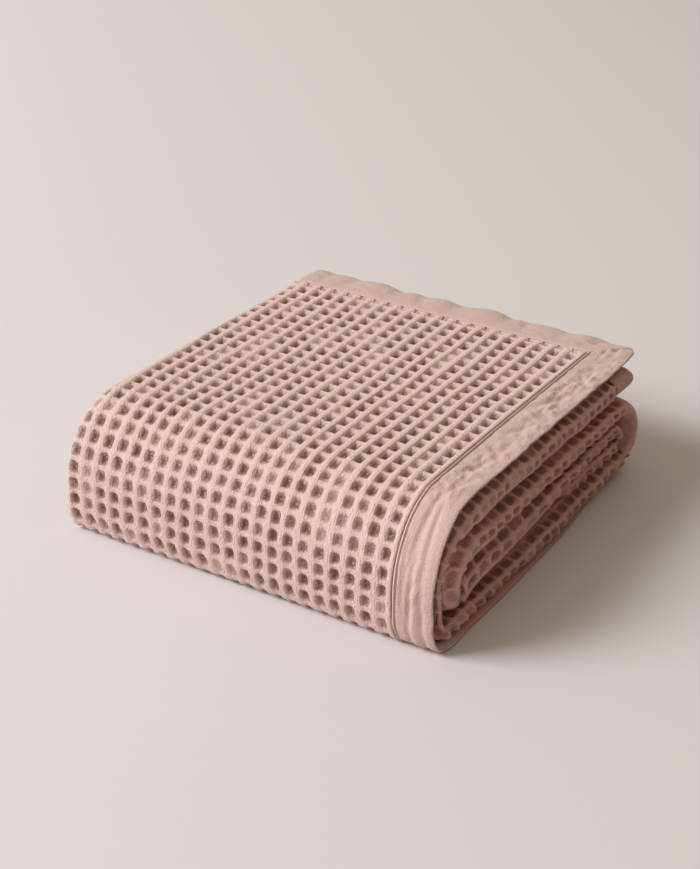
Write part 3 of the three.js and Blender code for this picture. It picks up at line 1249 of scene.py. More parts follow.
    def held_on_fold(self, places: Array) -> Array:
        """How far wells of the fold are held up: below its apex, on the front lobe and round the back.

        Args:
            places: face, cell across and cell along of each corner.

        Returns:
            The shares of their depth.
        """
        face, across, along = places.T
        inside = self.inside(along)
        down = (across - self.apex) * np.cos(self.cloth.roll(inside)["heading"])
        below = smooth(clamp01((down - self.pit_from) / self.pit_fade))
        below = below * clamp01(self.apex + self.fold_reach - across)
        chance = self.drift[0].cell(np.floor(across).astype(int), np.floor(along).astype(int))
        pits = (self.pits + self.pit_spread * clamp01(chance)) * below
        lobe = self.lobe * smooth(self.cloth.within(inside, "inner low", "tier 2", self.lobe_fade))
        wrap = self.back_wrap * smooth(self.cloth.within(inside, "back top", "tier 5", self.back_fade))
        return (face < 0) * np.maximum(pits, np.maximum(lobe, wrap))

    def on_fold(self, across: Array) -> Array:
        """How far cells lie on the right-hand fold, from 0 to 1."""
        return smooth(clamp01(self.fold_reach - np.abs(across - self.apex)))

    def opened(self, places: Array) -> Array:
        """How far the wells are pulled open, from 0 to 1: on the outside of the right-hand fold."""
        return (places[:, 0] < 0) * self.on_fold(places[:, 1])

    def taut(self, places: Array) -> Array:
        """How far the cloth is stretched, from 0 to 1: over the bend at the front of the stack.

        Args:
            places: face, cell across and cell along of each corner.

        Returns:
            The shares.
        """
        face, _, along = places.T
        above = along - self.row_at("front low") + self.taut_below
        below = self.row_at("tier 1") + self.taut_above - along
        return (face > 0) * self.tautness * smooth(clamp01(np.minimum(above, below) / self.taut_fade))

    def inside(self, along: Array) -> Array:
        """Distances along the cloth on its inner layers, where the cells aren't stretched."""
        return mix(self.foot, self.head, (along - self.first_row) / (self.last_row - self.first_row))

    @staticmethod
    def between(marks: Sequence[float], low: float, high: float) -> list[float]:
        """The marks strictly between two coordinates."""
        return list(marks[bisect_right(marks, low) : bisect_left(marks, high)])

    def tiles(
        self,
        face: Face,
        across: list[float],
        along: list[float],
        sides: dict[tuple[Face, Way, float], list[float]],
        number: Numbers,
    ) -> list[list[int]]:
        """A block's faces. Those on its rim also take the corners of the blocks beside it.

        Args:
            face: the face of the sheet.
            across: coordinates at which the block is divided across the cloth.
            along: those along the cloth.
            sides: all the marks along each side of the blocks.
            number: each place's number, to which new places are added.

        Returns:
            The faces by corner number.
        """
        tiles = []
        for j, (v0, v1) in enumerate(zip(along, along[1:])):
            for i, (u0, u1) in enumerate(zip(across, across[1:])):
                low = self.between(sides[face, Way.ALONG, v0], u0, u1) if j == 0 else []
                high = self.between(sides[face, Way.ALONG, v1], u0, u1) if j == len(along) - 2 else []
                right = self.between(sides[face, Way.ACROSS, u0], v0, v1) if i == 0 else []
                left = self.between(sides[face, Way.ACROSS, u1], v0, v1) if i == len(across) - 2 else []
                ring = [(u0, v0), *((u, v0) for u in low)]
                ring += [(u1, v0), *((u1, v) for v in left)]
                ring += [(u1, v1), *((u, v1) for u in reversed(high))]
                ring += [(u0, v1), *((u0, v) for v in reversed(right))]
                tiles.append([number.setdefault((face.value, u, v), len(number)) for u, v in ring])
        return tiles

    def rim(self, sides: dict[tuple[Face, Way, float], list[float]], number: Numbers) -> list[list[int]]:
        """The faces between the two faces of the sheet, along its four sides.

        Args:
            sides: all the marks along each side of the blocks.
            number: each place's number.

        Returns:
            The faces by corner number.
        """
        strips = []
        for way, value in (
            (Way.ACROSS, self.weave.seam_cell),
            (Way.ACROSS, self.last),
            (Way.ALONG, self.first_row),
            (Way.ALONG, self.last_row),
        ):
            outer, inner = (sides[face, way, value] for face in Face)
            shared = sorted(set(outer) & set(inner))
            for low, high in zip(shared, shared[1:]):
                ring = [(Face.OUTER, m) for m in (low, *self.between(outer, low, high), high)]
                ring += [(Face.INNER, m) for m in (high, *reversed(self.between(inner, low, high)), low)]
                spots = [(f.value, value, m) if way is Way.ACROSS else (f.value, m, value) for f, m in ring]
                strips.append([number[spot] for spot in spots])
        return strips

    def points(self, places: Array) -> tuple[Array, Array]:
        """Corners of the folded sheet.

        Args:
            places: face, cell across and cell along of each corner.

        Returns:
            The points, and the unit vectors out of the sheet there.
        """
        face, across, along = places.T
        across, along = self.wandered(across, along)
        station, distance = self.spread(across, along)
        out = self.cloth.outward(station, distance) * face[:, None]
        return self.cloth.slump(self.cloth.place(station, distance) + out * self.cloth.cloth / 2), out

    def wandered(self, across: Array, along: Array) -> tuple[Array, Array]:
        """Cell coordinates with the ribs wandering a little, as washed linen does.

        Args:
            across: cells across.
            along: cells along.

        Returns:
            The moved coordinates.
        """
        room = clamp01(np.minimum(across - self.weave.seam_cell, self.last - across))
        room = room * clamp01(np.minimum(along - self.first_row, self.last_row - along))
        amount = self.weave.wander * room
        moved = [self.stray(noise, across, along) * amount for noise in self.drift]
        return across + moved[0], along + moved[1]

    def stray(self, noise: SoftNoise, across: Array, along: Array) -> Array:
        """How far ribs stray by one noise: in ripples, in sways and crumpled on the fold.

        Args:
            noise: the noise.
            across: cells across.
            along: cells along.

        Returns:
            How far, as a share of the weave's wander.
        """
        weave = self.weave
        ripple = noise.at(across / weave.ripple[0] + weave.ripple_lane, along / weave.ripple[1])
        sway = weave.sway_share * noise.at(across / weave.sway[0], along / weave.sway[1])
        waves = weave.crumples_per_cell
        crumple = noise.at(across * waves[0] + weave.crumple_lane, along * waves[1])
        return ripple + sway + self.on_fold(across) * crumple

    def spread(self, across: Array, along: Array) -> tuple[Array, Array]:
        """Stations and distances of cell coordinates.

        Args:
            across: cells across.
            along: cells along.

        Returns:
            The stations across the cloth and the distances along it.
        """
        cloth, weave = self.cloth, self.weave
        on_face = np.interp(along, self.cells, self.distances)
        inside = self.inside(along)
        near, far = self.apex - self.fold_reach, self.apex + self.fold_reach
        weight = clamp01((across - self.face_end) / (near - self.face_end))
        distance = mix(on_face, inside, weight)
        face, fold = cloth.roll(on_face), cloth.roll(inside)
        gap = cloth.seam / self.a_width
        flat = face["edge"] - cloth.border - face["left"] - cloth.layer / 2
        hidden = clamp01((cloth.start_of("back top") - on_face) / self.hidden_fade)
        left = mix(weave.seam_cell + flat / weave.across, self.hidden_left, smooth(hidden))
        turned = left + weave.fold_cells
        b_length = face["fold"] - cloth.bulb - cloth.swell - face["left"] - cloth.layer / 2
        behind = Station.B + (self.face_end - turned) * weave.across / b_length
        shift = self.fold_shift * np.cos(fold["heading"])
        fold_near = self.fold_station(-self.fold_reach - shift, fold)
        fold_far = self.fold_station(self.fold_reach - shift, fold)
        past = np.clip(across - self.apex, -self.fold_reach, self.fold_reach) - shift
        zones = [across <= end for end in (left, turned, self.face_end, near, far)]
        stations = [
            Station.SEAM + gap + (across - weave.seam_cell) / (left - weave.seam_cell) * (1 - gap),
            Station.LEFT_FOLD + (across - left) / weave.fold_cells,
            Station.B + (across - turned) * weave.across / b_length,
            mix(behind, fold_near, weight),
            self.fold_station(past, fold),
        ]
        rest = mix(fold_far, Station.C_SEAM - gap, (across - far) / (self.last - far))
        return np.select(zones, stations, rest), distance

    def fold_station(self, cells: Array, roll: dict[str, Array]) -> Array:
        """Stations on the right-hand fold.

        Args:
            cells: how many cells past its apex, on the outside of the bend.
            roll: the roll's section there.

        Returns:
            The stations.
        """
        cloth = self.cloth
        t = np.linspace(0, 1, self.fold_samples)
        b_out, c_out = roll["b"] * cloth.layer, (roll["c"] - 1) * cloth.layer
        half = np.abs(b_out - c_out) / 2 + cloth.cloth / 2
        x = (cloth.bulb + cloth.cloth / 2) * np.sin(np.pi * t)[None, :]
        y = half[:, None] * np.cos(np.pi * t)[None, :]
        steps = np.hypot(np.diff(x, axis=1), np.diff(y, axis=1))
        arc = np.concatenate([np.zeros((len(cells), 1)), np.cumsum(steps, axis=1)], axis=1)
        arc -= arc[:, [self.fold_samples // 2]]
        b_swell, c_swell = np.hypot(cloth.swell, b_out), np.hypot(cloth.swell, c_out + cloth.layer)
        start, end = arc[:, :1] - b_swell[:, None], arc[:, -1:] + c_swell[:, None]
        arc = np.concatenate([start - self.beside_fold, start, arc, end, end + self.beside_fold], axis=1)
        beside = self.beside_fold / self.b_width
        before, after = [Station.B_SWELL - beside, Station.B_SWELL], [Station.C, Station.C + beside]
        stations = np.concatenate([before, Station.RIGHT_FOLD + t, after])
        length = cells * self.weave.across
        k = np.clip((arc <= length[:, None]).sum(axis=1) - 1, 0, len(stations) - 2)
        rows = np.arange(len(cells))
        low, high = arc[rows, k], arc[rows, k + 1]
        return mix(stations[k], stations[k + 1], clamp01((length - low) / (high - low)))

    def dress(self, piece: bpy.types.Object, material: bpy.types.Material) -> None:
        """Raises the ribs and sinks the wells, and notes how deep each corner lies.

        Args:
            piece: the plain sheet.
            material: its material.
        """
        inputs = {"Depth": "NodeSocketFloat", "Seed": "NodeSocketFloat", "Material": "NodeSocketMaterial"}
        tree = GeometryTree("waffle relief", inputs)
        cell, out = (tree.named(name, "FLOAT_VECTOR") for name in ("cell", "out"))
        held, opened, taut = (tree.named(name) for name in ("held", "open", "taut"))
        sunk = self.relief.sunk(tree, cell, held, opened, taut, tree.given("Seed"))
        moved = {"Geometry": tree.given("Geometry"), "Offset": tree.scaled(out, -sunk * tree.given("Depth"))}
        raised = tree.add("GeometryNodeSetPosition", None, moved)
        noted = tree.add(
            "GeometryNodeStoreNamedAttribute",
            {"data_type": "FLOAT", "domain": "POINT"},
            {"Geometry": raised, "Name": "sunk", "Value": sunk},
        )
        tree.finish(noted)
        values = {"Depth": self.relief.depth * MM, "Seed": self.relief.seed, "Material": material}
        tree.apply(piece, values)


# The borders


class Edge(Enum):
    """The four edges of the cloth."""

    RIGHT = "border_right"
    LEFT = "border_left"
    HEAD = "border_head"
    FOOT = "border_foot"

    @property
    def is_long(self) -> bool:
        """Whether the edge runs along the cloth."""
        return self in (Edge.RIGHT, Edge.LEFT)


@dataclass(frozen=True)
class Crease:
    """A soft trough in a border, or a ridge if its depth is negative.

    along is measured from the head end on a long border and from layer a's free edge on an end border,
    and across from the border's free edge. slant turns its length from along the border towards the seam,
    in degrees.
    """

    along: float
    across: float
    length: float
    width: float
    depth: float
    slant: float = 0.0

    def at(self, along: Array, across: Array) -> Array:
        """How far the cloth is lifted by it.

        Args:
            along: places along the border.
            across: places across it.

        Returns:
            The lift at each place.
        """
        turn = math.radians(self.slant)
        x, y = along - self.along, across - self.across
        with_it = x * math.cos(turn) + y * math.sin(turn)
        over_it = y * math.cos(turn) - x * math.sin(turn)
        return -self.depth * np.exp(-((2 * with_it / self.length) ** 2) - (2 * over_it / self.width) ** 2)


@dataclass(frozen=True)
class Span:
    """A stretch of a border and the spacing of its sections."""

    start: float
    end: float
    step: float


@dataclass(frozen=True)
class Puckers:
    """Small puckers of a border, in patches and strongest along its middle.

    Pairs are lengths of the waves or shifts of the noise, along and across the border. A slant is how far
    across the border the waves shift by one of their lengths along it, and its sign is the way.
    """

    height: float = 0.0
    level: float = 0.6
    broad: Pair = (15.0, 9.0)
    broad_slant: float = 19.0
    fine: Pair = (7.0, 5.0)
    fine_slant: float = -12.0
    fine_shift: Pair = (31.0, 17.0)
    fine_share: float = 0.6
    patch: Pair = (31.0, 23.0)
    patch_shift: Pair = (11.0, 5.0)
    patch_level: float = 0.6
    patch_share: float = 0.9
    middle: float = 17.0
    middle_width: float = 9.0
    beside_middle: float = 0.3
    # Up to a place along the border they are calmer
    calm_until: float = 0.0
    calm: float = 0.25
    calm_fade: float = 20.0

    def at(self, noise: SoftNoise, along: Array, across: Array) -> Array:
        """How far they lift the cloth.

        Args:
            noise: the border's own noise.
            along: places along the border.
            across: places across it.

        Returns:
            The lift at each place.
        """
        broad = np.abs(noise.at(along / self.broad[0] + across / self.broad_slant, across / self.broad[1]))
        slanted = along / self.fine[0] + across / self.fine_slant
        fine = np.abs(noise.at(slanted + self.fine_shift[0], across / self.fine[1] + self.fine_shift[1]))
        middle = mix(self.beside_middle, 1.0, hump(across - self.middle, self.middle_width))
        calm = mix(self.calm, 1.0, clamp01((along - self.calm_until) / self.calm_fade))
        spot = along / self.patch[0] + self.patch_shift[0], across / self.patch[1] + self.patch_shift[1]
        patch = clamp01(self.patch_level + self.patch_share * noise.at(*spot))
        return self.height * middle * calm * patch * (broad + self.fine_share * fine - self.level)


@dataclass(frozen=True)
class Border:
    """A plain linen border, turned double and mitred where its sections stop at its ends, as one sheet."""

    cloth: FoldedCloth
    edge: Edge
    spans: tuple[Span, ...]
    across_step: float
    seed: int
    creases: tuple[Crease, ...] = ()
    puckers: Puckers = Puckers()
    crease_fade: float = 7.0
    # How its free edge waves, long and short, and the radius of the cloth's outer corner
    edge_wave: float = 0.0
    long_wave: float = 26.0
    short_wave: float = 9.0
    short_share: float = 0.5
    corner: float = 16.0
    # Where its width is measured at the ends, and its mitres in widths of the border and of the seam
    end_inset: float = 18.0
    width_samples: int = 1801
    mitre_zone: float = 2.0
    mitre_gap: float = 1.5
    # How it thins towards its free edge
    thinned: float = 0.5
    thin_reach: float = 7.0
    # The bead beside the seam, and the groove that the stitches pull in
    bead: float = 0.5
    bead_line: float = 1.8
    groove: float = 0.9
    stitch_line: float = 3.1
    seam_width: float = 0.6
    seam_wave: float = 7.0
    seam_sway: float = 0.25
    groove_sway: float = 0.4
    stitch_depth: float = 0.6
    stitch_step: float = 2.0
    # How finely its section is divided
    round_samples: int = 7
    seam_steps: tuple[float, ...] = (0.0, 0.4, 0.8, 1.2, 1.6, 2.0, 2.5)
    seam_room: float = 1.5
    under_share: int = 3
    # What keeps the threads of its two faces from being alike
    faces_apart: float = 3.0
    # How far its colour takes the painted warm shade tint, on the shaded floor side or on the fold
    floor_fade: float = 20.0
    fold_reach: float = 2.0
    # What its noises add to its seed, and the lanes that are read from them
    wave_seed: int = 40
    seam_seed: int = 60
    lanes: Pair = (0.5, 3.5)

    @cached_property
    def width_table(self) -> tuple[Array, Array]:
        """Lengths across the cloth at its end, and the stations there."""
        stations = np.linspace(0, Station.C_EDGE, self.width_samples)
        at_head = self.edge is Edge.HEAD
        distance = self.cloth.length - self.end_inset if at_head else self.end_inset
        points = self.cloth.place(stations, np.full_like(stations, distance))
        return running(np.linalg.norm(np.diff(points[:, [0, 2]], axis=0), axis=1)), stations

    @property
    def run(self) -> float:
        """Length of the border's free edge."""
        return self.cloth.length if self.edge.is_long else float(self.width_table[0][-1])

    def mitred(self, along: Array, inset: Array) -> Array:
        """Moves places near either end inwards, so that the end lies at the mitre.

        Args:
            along: lengths along the free edge.
            inset: lengths from the free edge.

        Returns:
            The moved lengths along the edge.
        """
        zone = self.mitre_zone * self.cloth.border
        gap = 0.0 if self.edge.is_long else self.mitre_gap * self.cloth.seam
        moved = along + (inset + gap) * clamp01(1 - along / zone)
        return moved - (inset + gap) * clamp01(1 - (self.run - along) / zone)

    def locate(self, along: Array, across: Array) -> tuple[Array, Array]:
        """Stations and distances of places on the border.

        Args:
            along: lengths along the free edge.
            across: lengths from the free edge towards the seam.

        Returns:
            The stations and the distances.
        """
        width = self.cloth.border
        along = self.mitred(along, across)
        noise = SoftNoise(self.seed + self.wave_seed)
        wave = noise.at(along / self.long_wave, self.lanes[0])
        wave = wave + self.short_share * noise.at(along / self.short_wave, self.lanes[1])
        wavy = across - self.edge_wave * wave * (1 - across / width) ** 2
        if self.edge is Edge.RIGHT:
            return self.rounded(wavy / width, along)
        if self.edge is Edge.LEFT:
            return Station.C_EDGE - wavy / width, along
        station = np.interp(along, *self.width_table)
        if self.edge is Edge.HEAD:
            return self.rounded(station, self.cloth.length - wavy)
        return station, wavy

    def rounded(self, station: Array, distance: Array) -> tuple[Array, Array]:
        """Rounds the cloth's outer corner at the head end, where two borders meet.

        Args:
            station: stations across the cloth.
            distance: distances along it.

        Returns:
            The new stations and distances.
        """
        width, radius = self.cloth.border, self.corner
        from_side = radius - station * width
        from_head = radius - (self.cloth.length - distance)
        inside = (from_side > 0) & (from_head > 0)
        longest = np.maximum(from_side, from_head)
        scale = np.where(inside, longest / np.hypot(from_side, from_head), 1.0)
        station = np.where(inside, (radius - from_side * scale) / width, station)
        return station, np.where(inside, self.cloth.length - radius + from_head * scale, distance)

    def profile(self) -> tuple[Array, Array]:
        """The section as a closed ring: lengths from the free edge, and heights from -1 to 1."""
        width, round_off = self.cloth.border, self.cloth.band / 2
        turn = np.radians(np.linspace(-90, 90, self.round_samples)[1:-1])
        count = round((width - 2 * round_off) / self.across_step)
        top = np.linspace(width - 2 * round_off - self.seam_room, round_off, count)
        top = np.concatenate([width - round_off - np.array(self.seam_steps), top])
        under = np.linspace(round_off, width - round_off, max(3, count // self.under_share) + 1)
        bulge = round_off * np.cos(turn)
        across = [width - round_off + bulge, top, round_off - bulge, under]
        height = [np.sin(turn), np.ones_like(top), -np.sin(turn), -np.ones_like(under)]
        return np.concatenate(across), np.concatenate(height)

    def lift(self, along: Array, across: Array) -> Array:
        """How far creases and puckers lift the cloth, fading out at the seam.

        Args:
            along: lengths along the free edge.
            across: lengths from the free edge.

        Returns:
            The lift at each place.
        """
        from_head = self.cloth.length - along if self.edge.is_long else along
        lift = sum((crease.at(from_head, across) for crease in self.creases), np.zeros_like(along))
        lift = lift + self.puckers.at(SoftNoise(self.seed), along, across)
        return lift * smooth(clamp01((self.cloth.border - across) / self.crease_fade))

    def seam_lift(self, along: Array, across: Array) -> Array:
        """How far the bead and the stitches' groove beside the seam lift the cloth's upper face.

        Args:
            along: lengths along the free edge.
            across: lengths from the free edge.

        Returns:
            The lift at each place.
        """
        uneven = SoftNoise(self.seed + self.seam_seed).at(along / self.seam_wave, self.lanes[0])
        from_seam = self.cloth.border - across - self.seam_sway * uneven
        groove = self.groove * (1 + self.groove_sway * uneven)
        bead = self.bead * hump(from_seam - self.bead_line, self.seam_width)
        return bead - groove * hump(from_seam - self.stitch_line, self.seam_width)

    def laid(self, station: Array, distance: Array, height: Array) -> Array:
        """Points over the middle of the border, which lies flush with the panel's outer face on layer a.

        Args:
            station: stations across the cloth.
            distance: distances along it.
            height: heights over the middle of the border.

        Returns:
            The points in the slumped stack.
        """
        cloth = self.cloth
        flush = (cloth.cloth - cloth.band) / 2 * clamp01(Station.B - station)
        offset = (flush + height)[..., None]
        return cloth.slump(cloth.place(station, distance) + cloth.outward(station, distance) * offset)

    def build(self) -> bpy.types.Object:
        """Makes the border."""
        sections = [np.arange(span.start, span.end, span.step) for span in self.spans]
        stops = np.unique(np.concatenate([*sections, [self.run]]))
        ring_across, ring_height = self.profile()
        across, along = np.meshgrid(ring_across, stops)
        height = np.broadcast_to(ring_height, across.shape)
        station, distance = self.locate(along, across)
        thin = 1 - self.thinned * clamp01(1 - across / self.thin_reach) ** 2
        offset = height * thin * self.cloth.band / 2 + self.lift(along, across)
        offset = offset + self.seam_lift(along, across) * (height > 0)
        points = self.laid(station, distance, offset).reshape(-1, 3)
        points[:, 2] = np.maximum(points[:, 2], 0.0)
        count, rows = len(ring_across), len(stops)
        ring = np.arange(count)
        following = np.roll(ring, -1)
        start = np.arange(rows - 1)[:, None] * count
        corners = [start + ring, start + following, start + count + following, start + count + ring]
        polygons = np.stack(corners, axis=-1).reshape(-1, 4).tolist()
        polygons += [list(range(count)), list(range((rows - 1) * count, rows * count))]
        weave = np.stack([across, along, height * self.faces_apart], axis=-1).reshape(-1, 3)
        # fold marks where the border takes the painted warm shade tint
        layers = {"weave": weave, "fold": self.in_painted_shade(station, distance).ravel()}
        return make_piece(f"{self.edge.value}_cloth", points, polygons, layers)

    def in_painted_shade(self, station: Array, distance: Array) -> Array:
        """How far places take the painted warm shade tint, from 0 to 1: on the floor side or on the
        right-hand fold, where shade falls.
        """
        if self.edge is Edge.RIGHT:
            return self.cloth.within(distance, "tier 5", "front low", self.floor_fade)
        return clamp01(self.fold_reach - np.abs(station - Station.RIGHT_FOLD - 0.5))

    def seam_line(self) -> Array:
        """Points of the line of stitches beside the seam, in metres."""
        along = np.arange(self.stitch_step, self.run - self.stitch_step, self.stitch_step)
        across = np.full_like(along, self.cloth.border - self.stitch_line)
        height = self.cloth.band / 2 + self.lift(along, across) - self.stitch_depth
        return self.laid(*self.locate(along, across), height) * MM


@dataclass(frozen=True)
class Stitching:
    """The rows of stitches that hold the borders, in millimetres."""

    pitch: float = 3.4
    length: float = 2.7
    thread: float = 0.55
    segments: int = 6
    rings: int = 4

    def build(self, lines: list[Array], material: bpy.types.Material) -> bpy.types.Object:
        """Lays a stitch at each step along the lines.

        Args:
            lines: points of each line, in metres.
            material: the stitches' material.

        Returns:
            The stitches as one piece.
        """
        points = np.concatenate(lines)
        starts = np.cumsum([0] + [len(line) for line in lines])
        edges = [(k, k + 1) for low, high in zip(starts, starts[1:]) for k in range(low, high - 1)]
        mesh = bpy.data.meshes.new("border_stitches")
        mesh.from_pydata(points.tolist(), edges, [])
        piece = bpy.data.objects.new("border_stitches", mesh)
        bpy.context.scene.collection.objects.link(piece)
        self.dress(piece, material)
        return piece

    def dress(self, piece: bpy.types.Object, material: bpy.types.Material) -> None:
        """Puts a stitch at each step along the piece's lines.

        Args:
            piece: the lines.
            material: the stitches' material.
        """
        inputs = {
            "Pitch": "NodeSocketFloat",
            "Stitch size": "NodeSocketVector",
            "Material": "NodeSocketMaterial",
        }
        tree = GeometryTree("stitches", inputs)
        curve = tree.add("GeometryNodeMeshToCurve", None, {"Mesh": tree.given("Geometry")})
        spacing = {"Curve": curve, "Length": tree.given("Pitch")}
        steps = tree.add("GeometryNodeResampleCurve", {"mode": "LENGTH"}, spacing)
        shape = {"Segments": self.segments, "Rings": self.rings, "Radius": 0.5}
        ball = tree.add("GeometryNodeMeshUVSphere", None, shape)
        tangent = tree.add("GeometryNodeInputTangent")
        turn = tree.add("FunctionNodeAlignRotationToVector", {"axis": "X"}, {"Vector": tangent})
        laid = tree.add(
            "GeometryNodeInstanceOnPoints",
            None,
            {"Points": steps, "Instance": ball, "Rotation": turn, "Scale": tree.given("Stitch size")},
        )
        tree.finish(laid)
        size = (self.length * MM, self.thread * MM, self.thread * MM)
        tree.apply(piece, {"Pitch": self.pitch * MM, "Stitch size": size, "Material": material})


# The studio


@dataclass(frozen=True)
class Studio:
    """The floor, lights and camera, in metres."""

    focal_px: float = 2007.66
    picture_px: float = 869.0
    azimuth: float = 31.98
    elevation: float = 29.30
    eye: Point = (0.7735, -1.2642, 0.8862)
    sensor_mm: float = 36.0
    # The floor's colours paint the light falling off across it, from the front left to the back right
    floor_near: Colour = (0.836, 0.792, 0.812)
    floor_far: Colour = (0.562, 0.483, 0.486)
    floor_fade: Pair = (-2.0, 3.0)
    floor_roughness: float = 0.8
    floor_reach: float = 8.0
    floor_height: float = -0.0003
    key_power: float = 860.0
    key_size: float = 4.4
    key_place: Point = (-5.9, -4.05, 5.5)
    key_colour: Colour = (0.92, 0.94, 1.0)
    world_colour: Colour = (1.0, 0.92, 0.715)
    world_strength: float = 0.462
    # How the surround dims towards the right and below: its slopes up and across, and the range of both
    dim_side: float = 0.06
    dim_up: float = 1.6
    dim_across: float = 1.1
    dim_range: Pair = (-0.5, 0.9)

    def build(self) -> None:
        """Sets up everything that isn't part of the blanket."""
        self.add_floor()
        self.add_lights()
        self.add_camera()
        scene = bpy.context.scene
        scene.view_settings.view_transform = "Standard"
        scene.view_settings.look = "None"

    def add_floor(self) -> None:
        """A wide pale floor whose painted light and shade darken it a little towards the back right."""
        mesh = bpy.data.meshes.new("floor")
        reach = self.floor_reach
        corners = [(-reach, -reach, 0), (reach, -reach, 0), (reach, reach, 0), (-reach, reach, 0)]
        mesh.from_pydata(corners, [], [(0, 1, 2, 3)])
        floor = bpy.data.objects.new("floor", mesh)
        floor.location.z = self.floor_height
        bpy.context.scene.collection.objects.link(floor)
        material, graph = new_material("pale floor")
        x, y, _ = graph.parts(graph.place())
        colour = graph.colours(self.floor_near, self.floor_far, (x + y).ramp(*self.floor_fade))
        graph.surface({"Base Color": colour, "Roughness": self.floor_roughness})
        mesh.materials.append(material)

    def add_lights(self) -> None:
        """A large soft key light from the left of the front, and a surround that dims to the right."""
        lamp = bpy.data.lights.new("key", "AREA")
        lamp.energy = self.key_power
        lamp.size = self.key_size
        lamp.color = self.key_colour
        key = bpy.data.objects.new("key", lamp)
        key.location = self.key_place
        key.rotation_euler = (-Vector(self.key_place)).to_track_quat("-Z", "Y").to_euler()
        bpy.context.scene.collection.objects.link(key)
        world = bpy.data.worlds.new("surround")
        bpy.context.scene.world = world
        world.use_nodes = True
        world.node_tree.nodes.clear()
        graph = Graph(world.node_tree)
        across, _, up = graph.parts(graph.place("Generated"))
        share = (up * self.dim_up - across * self.dim_across).eased(*self.dim_range)
        strength = (self.dim_side + share * (1 - self.dim_side)) * self.world_strength
        shining = {"Color": (*self.world_colour, 1), "Strength": strength}
        sky = graph.add("ShaderNodeBackground", None, shining)
        graph.node("ShaderNodeOutputWorld", None, {"Surface": sky})

    def add_camera(self) -> None:
        """The camera that was fitted to the lattice of the weave."""
        data = bpy.data.cameras.new("camera")
        data.sensor_width = self.sensor_mm
        data.lens = self.focal_px * data.sensor_width / self.picture_px
        camera = bpy.data.objects.new("camera", data)
        a, e = math.radians(self.azimuth), math.radians(self.elevation)
        back = Vector((math.sin(a) * math.cos(e), -math.cos(a) * math.cos(e), math.sin(e)))
        camera.location = self.eye
        camera.rotation_euler = (-back).to_track_quat("-Z", "Y").to_euler()
        bpy.context.scene.collection.objects.link(camera)
        bpy.context.scene.camera = camera


# The blanket


